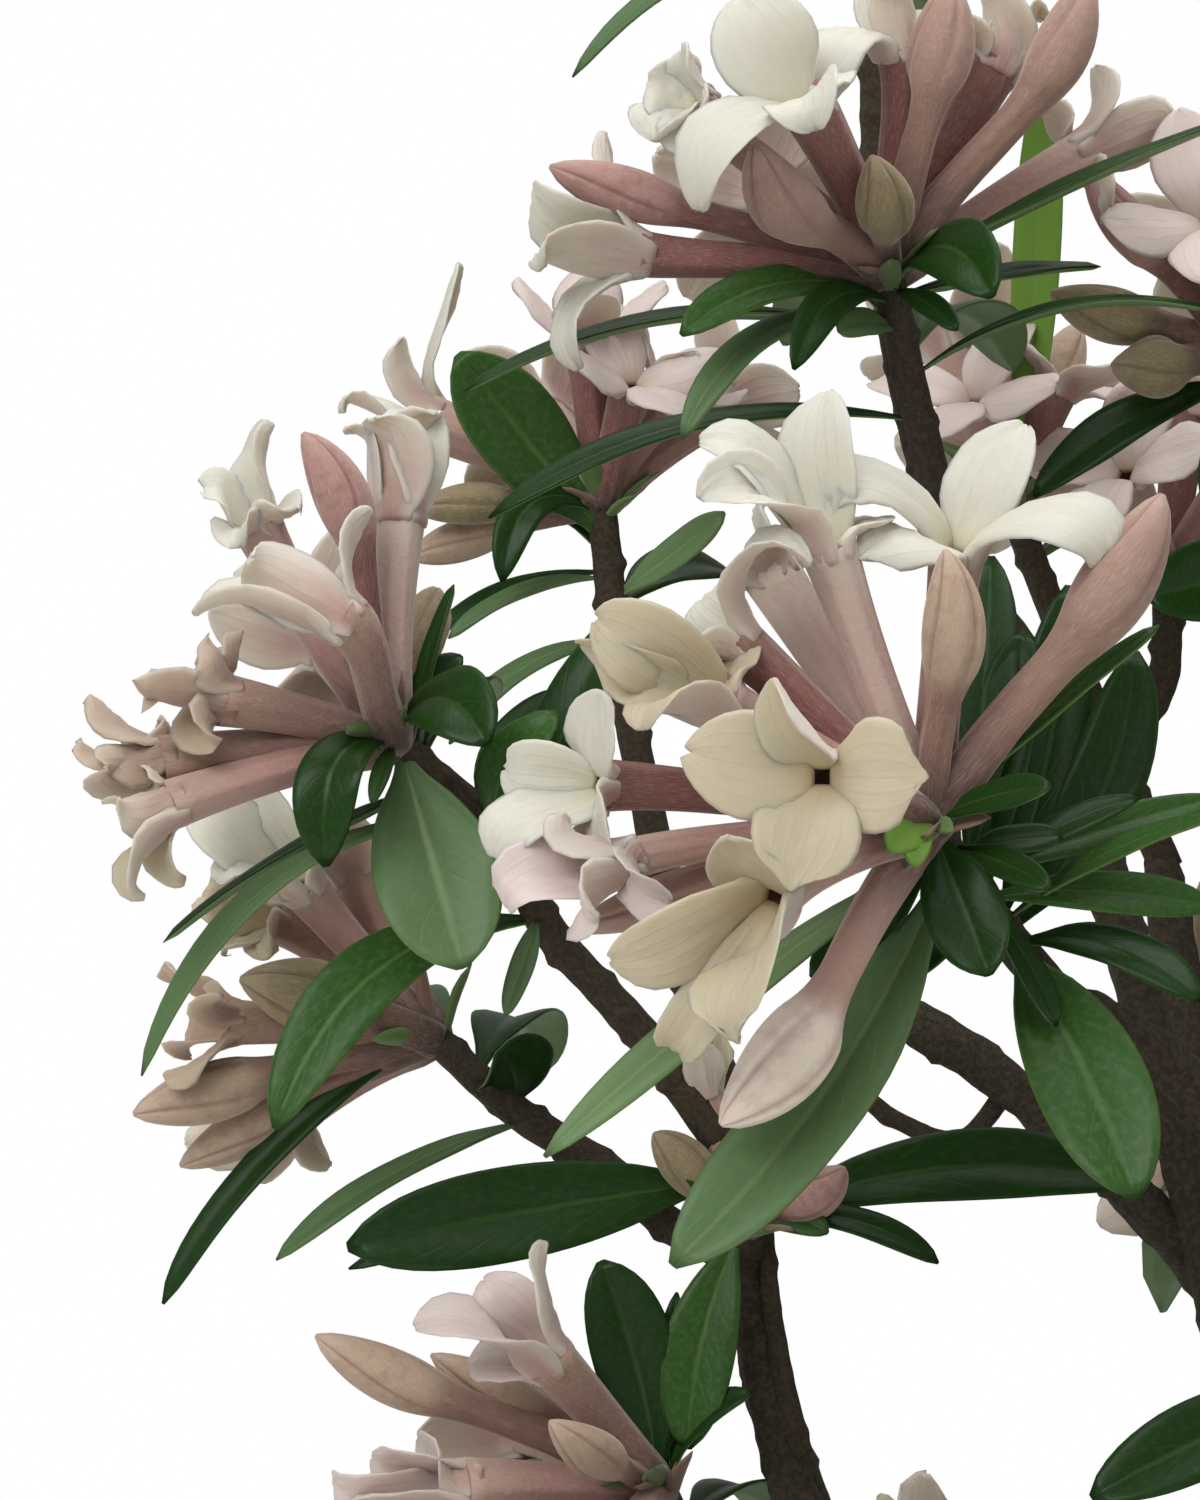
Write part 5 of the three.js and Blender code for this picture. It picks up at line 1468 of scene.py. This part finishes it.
def finishes():
    """Every finish by its name, from the panel's colours."""
    tone = bpy.context.scene.daphne_colours
    rib, rim = shade(104, 134, 70), shade(116, 140, 72)
    under_rib, under_rim = shade(134, 156, 104), shade(124, 146, 84)
    return {
        "leaf_deep": leaf_finish(tone.leaf_deep, shade(70, 100, 52), shade(60, 92, 44), 0.36),
        "leaf_green": leaf_finish(tone.leaf_green, rib, rim, 0.38),
        "leaf_young": leaf_finish(tone.leaf_young, under_rib, rim, 0.42),
        "leaf_light": leaf_finish(tone.leaf_light, under_rib, rim, 0.42),
        "leaf_grey": leaf_finish(tone.leaf_grey, under_rib, rim, 0.4),
        "leaf_under": leaf_finish(tone.leaf_under, under_rib, under_rim, 0.5),
        "petal_white": lobe_finish(tone.petal_white, shade(202, 194, 164), shade(200, 188, 172), 0.3),
        "petal_cream": lobe_finish(tone.petal_cream, shade(190, 172, 134), shade(184, 166, 138), 0.35),
        "petal_pink": lobe_finish(tone.petal_pink, shade(196, 176, 158), shade(194, 170, 162), 0.35),
        "petal_old": lobe_finish(tone.petal_old, shade(160, 124, 106), shade(158, 126, 102), 0.9),
        "petal_cream_back": lobe_finish(tone.petal_back, tone.petal_blush, shade(206, 180, 164), 0.6, 0.4),
        "petal_blush_back": lobe_finish(tone.petal_back, tone.petal_flush, shade(190, 150, 142), 0.95, 0.4),
        "petal_old_back": lobe_finish(
            shade(188, 168, 150), shade(138, 108, 96), shade(150, 118, 104), 1.1, 0.3
        ),
        "tube_pale": tube_finish(tone.tube_foot_and_shade, tone.tube_pale, shade(206, 192, 176), shade(196, 178, 164)),
        "tube_pink": tube_finish(tone.tube_foot_and_shade, tone.tube_pink, shade(182, 154, 140), shade(172, 144, 132)),
        "tube_mauve": tube_finish(tone.tube_foot_and_shade, tone.tube_mauve, shade(134, 92, 82), shade(126, 90, 82)),
        "tube_brown": tube_finish(
            tone.tube_foot_and_shade, tone.tube_brown, shade(158, 128, 108), shade(146, 118, 104)
        ),
        "throat": plain_finish(shade(150, 106, 92), Roughness=0.7),
        "bud_pink": bud_finish(shade(146, 112, 98), tone.bud_pink, shade(188, 160, 148)),
        "bud_rose": bud_finish(shade(112, 68, 62), tone.bud_rose, shade(176, 142, 132)),
        "bud_tan": bud_finish(shade(134, 100, 86), tone.bud_tan, shade(190, 168, 148)),
        "bud_olive": bud_finish(shade(106, 80, 64), tone.bud_olive, shade(156, 140, 112)),
        "bud_pale": bud_finish(shade(188, 152, 140), tone.bud_pale, shade(226, 208, 194)),
        "young_bark": bark_finish(tone.young_bark, shade(78, 66, 48), 2600.0),
        "bark": bark_finish(tone.bark, tone.bark_light, 2200.0),
        "bract_green": plain_finish(tone.bract_green, Roughness=0.6, Sheen_Weight=0.3),
        "bract_brown": plain_finish(shade(138, 104, 84), Roughness=0.7, Sheen_Weight=0.4),
    }


def finished(name, number=0, count=1):
    """The material of a finish whose band on the map is number of count."""
    finish = Finish(name)
    colour = finishes()[name](finish, *finish.on_map(number, count))
    finish.feed(finish.shader.inputs["Base Color"], colour)
    return finish.material


# Trunk and boughs.

TRUNK_CORNERS = 48
TRUNK_STEPS = 26
TRUNK_CUTS = 2
FLARE_LOBES = 5
FLARE_DEPTH = 0.1
FLARE_TOP = 0.5
BOUGH_RINGS = 170
BOUGH_ROUNDNESS = 6
WELD = 1e-6
SCAR_PITCH = 3.1
BOUGH_WAIST = 0.2  # how much slimmer than a plain taper a bough is at its middle
BOUGH_ROUNDING = 0.4  # how much slimmer a bough is at its tip, and the length over which it narrows there
BOUGH_ROUNDED = 2.5
# Reliefs of the bark: the kind of texture, its size in millimetres, and its depth.
TRUNK_LUMPS = ("CLOUDS", 4, 1.6)
TRUNK_CRACKS = ("VORONOI", 1.2, 0.7)
BOUGH_GRAIN = ("CLOUDS", 0.9, 0.35)
FLAT_FOOT = 0.4  # up to this height the trunk is flattened on to the ground


def deselect():
    if bpy.context.object and bpy.context.object.mode != "OBJECT":
        bpy.ops.object.mode_set(mode="OBJECT")
    bpy.ops.object.select_all(action="DESELECT")


def trunk_object():
    """The trunk: a disc extruded up ring by ring along its lean, with root lobes at its foot."""
    deselect()
    foot = through(TRUNK_PROFILE, np.array([0.0]))[0]
    bpy.ops.mesh.primitive_circle_add(vertices=TRUNK_CORNERS, radius=foot * MM, fill_type="NGON")
    trunk = bpy.context.object
    bpy.ops.object.mode_set(mode="EDIT")
    bpy.ops.mesh.select_all(action="SELECT")
    shares = np.linspace(0, 1, TRUNK_STEPS)
    radii = through(TRUNK_PROFILE, shares)
    for share, before, radius in zip(shares[1:], radii, radii[1:]):
        step = Vector(TRUNK_LEAN / (TRUNK_STEPS - 1)) * MM
        bpy.ops.mesh.extrude_region_move(TRANSFORM_OT_translate={"value": step})
        scale = radius / before
        centre = Vector(TRUNK_LEAN * share) * MM
        bpy.ops.transform.resize(value=(scale, scale, 1), center_override=centre)
    bpy.ops.mesh.select_all(action="SELECT")
    bpy.ops.mesh.subdivide(number_cuts=TRUNK_CUTS)
    bpy.ops.object.mode_set(mode="OBJECT")
    for vertex in trunk.data.vertices:
        share = vertex.co.z / (TRUNK_HEIGHT * MM)
        centre = Vector(TRUNK_LEAN * share) * MM
        out = vertex.co - centre
        depth = FLARE_DEPTH * max(0, 1 - share / FLARE_TOP)
        vertex.co = centre + out * (1 + depth * math.cos(FLARE_LOBES * math.atan2(out.y, out.x)))
    return trunk


def bough_object(name, foot_radius, tip_radius):
    """A bough: a round tube that tapers along a Bezier curve."""
    deselect()
    bpy.ops.curve.primitive_bezier_curve_add(location=(0, 0, 0))
    curve = bpy.context.object.data
    height, *rest = BOUGHS[name]
    points = [TRUNK_LEAN * (height / TRUNK_HEIGHT), *rest]
    start, leaving, arriving, end = (Vector(p) * MM for p in points)
    foot, tip = curve.splines[0].bezier_points
    for point in (foot, tip):
        point.handle_left_type = point.handle_right_type = "FREE"
    foot.co, foot.handle_left, foot.handle_right = start, start, leaving
    tip.co, tip.handle_left, tip.handle_right = end, arriving, end
    foot.radius, tip.radius = foot_radius, tip_radius
    curve.bevel_depth = 1
    curve.bevel_resolution = BOUGH_ROUNDNESS
    curve.resolution_u = BOUGH_RINGS
    curve.use_fill_caps = True
    bpy.ops.object.convert(target="MESH")
    bpy.ops.object.mode_set(mode="EDIT")
    bpy.ops.mesh.select_all(action="SELECT")
    bpy.ops.mesh.remove_doubles(threshold=WELD)
    bpy.ops.mesh.normals_make_consistent(inside=False)
    bpy.ops.object.mode_set(mode="OBJECT")
    bark_relief(bpy.context.object, bough_spine(name))
    return bpy.context.object


def bark_relief(limb, spine):
    """Lifts a limb's bark into streaks that run along it, knots, and the low rings of old leaf scars."""
    depth = sized("bark_relief")
    reached = reaches(spine)
    ways = directions(spine)
    u = squares(np.array((0.9, 0.1, 0.2)), ways)
    w = np.cross(ways, u)
    for vertex in limb.data.vertices:
        place = np.array(vertex.co) / MM
        near = int(np.argmin(np.sum((spine - place) ** 2, axis=1)))
        off = place - spine[near]
        share = off @ ways[near]
        out = off - ways[near] * share
        radius = np.linalg.norm(out)
        if radius < 0.1:
            continue
        angle = math.atan2(out @ w[near], out @ u[near])
        along = reached[near] + share
        x, y = math.cos(angle) * radius, math.sin(angle) * radius
        streak = bark_noise(x, y, along, 1.6, 0.12)
        flake = bark_noise(x, y, along, 2.6, 0.9)
        knot = max(bark_noise(x, y, along, 0.3, 0.21) - 0.25, 0)
        turn = along / SCAR_PITCH
        facing = max(math.cos(angle - math.radians(GOLDEN_ANGLE) * math.floor(turn)), 0)
        scar = math.exp(-(((turn % 1 - 0.5) / 0.16) ** 2)) * facing
        slim = BOUGH_WAIST * radius * math.sin(math.pi * min(along / reached[-1], 1))
        narrowed = BOUGH_ROUNDING * max(1 - (reached[-1] - along) / BOUGH_ROUNDED, 0) ** 2
        lift = depth * (0.5 * streak + 0.3 * flake + 1.6 * knot + 0.5 * scar) - slim - narrowed
        vertex.co = Vector((place + out / radius * lift) * MM)


def roughen(piece, kind, size, depth):
    """Presses a procedural relief into a piece along its normals. depth is a share of the bark's relief."""
    texture = bpy.data.textures.new(f"{piece.name}_{kind.lower()}", kind)
    texture.noise_scale = size * MM
    relief = piece.modifiers.new("relief", "DISPLACE")
    relief.texture = texture
    relief.texture_coords = "LOCAL"
    relief.strength = bpy.context.scene.daphne_sizes.bark_relief * depth
    relief.mid_level = 0.5
    deselect()
    bpy.context.view_layer.objects.active = piece
    piece.select_set(True)
    bpy.ops.object.modifier_apply(modifier=relief.name)


def finish_bark(piece, nodes):
    piece.data.name = piece.name
    piece.data.shade_smooth()
    piece.data.materials.clear()
    piece.data.materials.append(finished("bark"))
    settle(piece, nodes)


# The panel's values.


def colour(name, description, screen):
    return bpy.props.FloatVectorProperty(
        name=name, description=description, default=shade(*screen), subtype="COLOR", size=4, min=0, max=1
    )


def length(name, description, millimetres):
    return bpy.props.FloatProperty(
        name=name, description=description, default=millimetres * MM, unit="LENGTH", min=0, precision=5
    )


class DaphneSizes(bpy.types.PropertyGroup):
    """Sizes that change the looks and leave the plan as it is."""

    bough_foot: length("Bough foot", "Radius of a bough where it leaves the trunk", BOUGH_FOOT_RADIUS)
    bough_tip: length("Bough tip", "Radius of a bough where its twigs start", BOUGH_TIP_RADIUS)
    bark_relief: length("Bark relief", "Depth of the bark's lumps and cracks", 0.5)
    lobe_length: length("Lobe length", "Length of a bloom's lobe", 8.6)
    lobe_breadth: length("Lobe breadth", "Breadth of a bloom's lobe", 6.3)
    lobe_thickness: length("Lobe thickness", "Thickness of a lobe along its middle", 0.55)
    mouth_radius: length("Mouth radius", "Radius of a bloom's tube at its mouth", 1.85)
    bud_radius: length("Bud radius", "Radius of a bud's body", 2.15)
    leaf_thickness: length("Leaf thickness", "Thickness of a leaf beside its midrib", 0.42)
    twig_foot: length("Twig foot", "Radius of a twig at its foot", 1.32)
    twig_tip: length("Twig tip", "Radius of a twig below its head", 1.08)
    floor_radius: length("Floor radius", "Radius of the floor under the plant", 450)


class DaphneColours(bpy.types.PropertyGroup):
    """The main colours of the leaves, blooms and bark."""

    # Partly a darker green and partly painted shade for the leaves that lie in shade.
    leaf_deep: colour("Deep leaf", "Upper side of the darkest leaves", (25, 56, 15))
    leaf_green: colour("Green leaf", "Upper side of the middle leaves", (48, 84, 36))
    leaf_grey: colour("Grey leaf", "Upper side of the paler, greyer leaves", (86, 114, 75))
    leaf_light: colour("Light leaf", "Upper side of the palest leaves", (104, 132, 88))
    leaf_young: colour("Young leaf", "Both sides of the youngest leaves", (112, 152, 62))
    leaf_under: colour("Leaf underside", "Underside of every leaf", (104, 130, 88))
    petal_white: colour("White lobe", "Inner side of the freshest lobes", (208, 205, 191))
    petal_cream: colour("Cream lobe", "Inner side of the creamier lobes", (190, 179, 153))
    petal_pink: colour("Pink-white lobe", "Inner side of the blushed lobes", (212, 196, 190))
    petal_old: colour("Old lobe", "Lobes of withered blooms", (184, 165, 142))
    petal_back: colour("Lobe back", "Outer side of a lobe near its tip", (206, 196, 182))
    petal_blush: colour("Lobe blush", "Outer side of a pale lobe near its foot", (190, 164, 152))
    petal_flush: colour("Lobe flush", "Outer side of a pink lobe near its foot", (174, 138, 128))
    # Partly the tubes' own dark red-brown and partly painted shade where they crowd at the head.
    tube_foot_and_shade: colour("Tube foot", "Foot of every tube", (62, 42, 35))
    tube_pale: colour("Pale tube", "Middle of the palest tubes", (198, 168, 158))
    tube_pink: colour("Pink tube", "Middle of the pink tubes", (168, 126, 117))
    tube_mauve: colour("Mauve tube", "Middle of the dark red tubes", (132, 80, 74))
    tube_brown: colour("Brown tube", "Middle of the withered tubes", (134, 100, 90))
    bud_pink: colour("Pink bud", "Body of the pink buds", (162, 130, 117))
    bud_pale: colour("Pale bud", "Body of the palest buds", (240, 226, 210))
    bud_rose: colour("Rose bud", "Body of the dark pink buds", (172, 132, 124))
    bud_tan: colour("Tan bud", "Body of the tan buds", (178, 154, 132))
    bud_olive: colour("Olive bud", "Body of the greenish buds", (134, 122, 86))
    bract_green: colour("Green bract", "Young leaves round the heads", (92, 120, 58))
    young_bark: colour("Young bark", "Dark patches of the twigs' bark", (58, 48, 34))
    bark: colour("Bark", "Dark patches of the trunk's and boughs' bark", (56, 47, 34))
    bark_light: colour("Pale bark", "Pale patches of the trunk's and boughs' bark", (80, 69, 52))


# Operators.

BOUGH_NODES = [f"bough_{name}" for name in BOUGHS]
MASS_NODES = [f"mass_{name}" for name in (*PLACED, *GROWN)]


def grow(name, materials, add, slot="foliage"):
    """Grows all the shapes of one kind on every shoot, and joins them into one piece."""
    heap = Joined(materials)
    add(heap, all_shoots())
    heap.finish(name, MASS_NODES, slot)


class DAPHNE_OT_trunk(bpy.types.Operator):
    """Build the trunk with its root flare and bark"""

    bl_idname = "daphne.trunk"
    bl_label = "Trunk"

    def execute(self, context):
        trunk = trunk_object()
        trunk.name = "trunk_bark"
        roughen(trunk, *TRUNK_LUMPS)
        roughen(trunk, *TRUNK_CRACKS)
        for vertex in trunk.data.vertices:
            vertex.co.z = vertex.co.z if vertex.co.z > FLAT_FOOT * MM else 0
        finish_bark(trunk, ["trunk"])
        return {"FINISHED"}


class DAPHNE_OT_boughs(bpy.types.Operator):
    """Build every bough with its bark"""

    bl_idname = "daphne.boughs"
    bl_label = "Boughs"

    def execute(self, context):
        size = context.scene.daphne_sizes
        boughs = [bough_object(name, size.bough_foot, size.bough_tip) for name in BOUGHS]
        deselect()
        for bough in boughs:
            bough.select_set(True)
        context.view_layer.objects.active = boughs[0]
        bpy.ops.object.join()
        piece = context.object
        piece.name = "bough_bark"
        roughen(piece, *BOUGH_GRAIN)
        finish_bark(piece, BOUGH_NODES)
        return {"FINISHED"}


class DAPHNE_OT_twigs(bpy.types.Operator):
    """Build the scarred twigs that carry the heads"""

    bl_idname = "daphne.twigs"
    bl_label = "Twigs"

    def execute(self, context):
        grow("twigs", ["young_bark"], add_twigs, "bark")
        return {"FINISHED"}


class DAPHNE_OT_leaves(bpy.types.Operator):
    """Build the leaves"""

    bl_idname = "daphne.leaves"
    bl_label = "Leaves"

    def execute(self, context):
        grow("leaves", [*LEAF_TONES, LIGHT, YOUNG, "leaf_under"], add_leaves)
        return {"FINISHED"}


class DAPHNE_OT_blooms(bpy.types.Operator):
    """Build the open blooms: their lobes and their tubes"""

    bl_idname = "daphne.blooms"
    bl_label = "Open blooms"

    def execute(self, context):
        lobes = Joined([name for name in finishes() if name.startswith("petal")])
        tubes = Joined([*(name for name in finishes() if name.startswith("tube")), "throat"])
        add_blooms(lobes, tubes, all_shoots())
        lobes.finish("lobes", MASS_NODES, "foliage")
        tubes.finish("tubes", MASS_NODES, "foliage")
        return {"FINISHED"}


class DAPHNE_OT_buds(bpy.types.Operator):
    """Build the buds, and the bracts round every head"""

    bl_idname = "daphne.buds"
    bl_label = "Buds and bracts"

    def execute(self, context):
        grow("buds", BUD_TONES, add_buds)
        grow("bracts", ["bract_green", "bract_brown"], add_bracts)
        return {"FINISHED"}


# The stage.

CAMERA_PLACE = (-49, -393.75, 130)
CAMERA_LENS = 135
SENSOR = 36
CLIP_START = 10
FLOOR_CORNERS = 128
WORLD_LIGHT = 0.36
LAMPS = (
    # name, place and target in millimetres, width in millimetres, watts
    ("key_light", (-360, -560, 620), (-30, 0, 110), 520, 4.1),
    ("top_light", (60, 60, 760), (0, 0, 110), 620, 2.9),
    ("fill_light", (520, -420, 260), (0, 0, 110), 480, 0.8),
)


def add_lamp(name, place, target, width, watts):
    bpy.ops.object.light_add(type="AREA", location=Vector(place) * MM)
    lamp = bpy.context.object
    lamp.name = name
    lamp.data.size = width * MM
    lamp.data.energy = watts
    lamp.rotation_euler = (Vector(place) - Vector(target)).to_track_quat("Z", "Y").to_euler()


def pale_world():
    """White to the camera, and a softer even light on the plant."""
    world = bpy.data.worlds.new("pale")
    world.use_nodes = True
    nodes, links = world.node_tree.nodes, world.node_tree.links
    seen, lighting = nodes["Background"], nodes.new("ShaderNodeBackground")
    seen.inputs["Color"].default_value = lighting.inputs["Color"].default_value = (1, 1, 1, 1)
    seen.inputs["Strength"].default_value = 1.0
    lighting.inputs["Strength"].default_value = WORLD_LIGHT
    rays, mix = nodes.new("ShaderNodeLightPath"), nodes.new("ShaderNodeMixShader")
    links.new(rays.outputs["Is Camera Ray"], mix.inputs[0])
    links.new(lighting.outputs[0], mix.inputs[1])
    links.new(seen.outputs[0], mix.inputs[2])
    links.new(mix.outputs[0], nodes["World Output"].inputs["Surface"])
    bpy.context.scene.world = world


class DAPHNE_OT_stage(bpy.types.Operator):
    """Set the floor, the soft lights and the camera"""

    bl_idname = "daphne.stage"
    bl_label = "Stage"

    def execute(self, context):
        deselect()
        radius = context.scene.daphne_sizes.floor_radius
        bpy.ops.mesh.primitive_circle_add(vertices=FLOOR_CORNERS, radius=radius, fill_type="NGON")
        floor = context.object
        floor.name = "floor"
        pale = Finish("floor")
        pale.wear(Roughness=0.9, Base_Color=shade(236, 235, 232))
        floor.data.materials.append(pale.material)
        floor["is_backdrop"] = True
        for lamp in LAMPS:
            add_lamp(*lamp)
        pale_world()
        bpy.ops.object.camera_add(location=Vector(CAMERA_PLACE) * MM, rotation=(math.pi / 2, 0, 0))
        camera = context.object
        camera.name = "camera"
        camera.data.lens, camera.data.sensor_width = CAMERA_LENS, SENSOR
        camera.data.clip_start = CLIP_START * MM
        context.scene.camera = camera
        context.scene.view_settings.view_transform = "Standard"
        return {"FINISHED"}


OPERATORS = (
    DAPHNE_OT_trunk,
    DAPHNE_OT_boughs,
    DAPHNE_OT_twigs,
    DAPHNE_OT_leaves,
    DAPHNE_OT_blooms,
    DAPHNE_OT_buds,
    DAPHNE_OT_stage,
)


class DAPHNE_PT_panel(bpy.types.Panel):
    """The shrub's pieces, sizes and colours"""

    bl_label = "Daphne shrub"
    bl_idname = "DAPHNE_PT_panel"
    bl_space_type = "VIEW_3D"
    bl_region_type = "UI"
    bl_category = "Daphne"

    def draw(self, context):
        for operator in OPERATORS:
            self.layout.operator(operator.bl_idname)
        for group in (context.scene.daphne_sizes, context.scene.daphne_colours):
            for name in group.__annotations__:
                self.layout.prop(group, name)


CLASSES = (DaphneSizes, DaphneColours, *OPERATORS, DAPHNE_PT_panel)


def register():
    for cls in CLASSES:
        bpy.utils.register_class(cls)
    bpy.types.Scene.daphne_sizes = bpy.props.PointerProperty(type=DaphneSizes)
    bpy.types.Scene.daphne_colours = bpy.props.PointerProperty(type=DaphneColours)


def unregister():
    del bpy.types.Scene.daphne_colours
    del bpy.types.Scene.daphne_sizes
    for cls in reversed(CLASSES):
        bpy.utils.unregister_class(cls)


def main():
    register()
    for operator in OPERATORS:
        group, name = operator.bl_idname.split(".")
        getattr(getattr(bpy.ops, group), name)()
    boxes = {"cad": CAD_BOX, "visual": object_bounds()}
    {name: [list(corner) for corner in box] for name, box in boxes.items()}


if __name__ == "__main__":
    main()
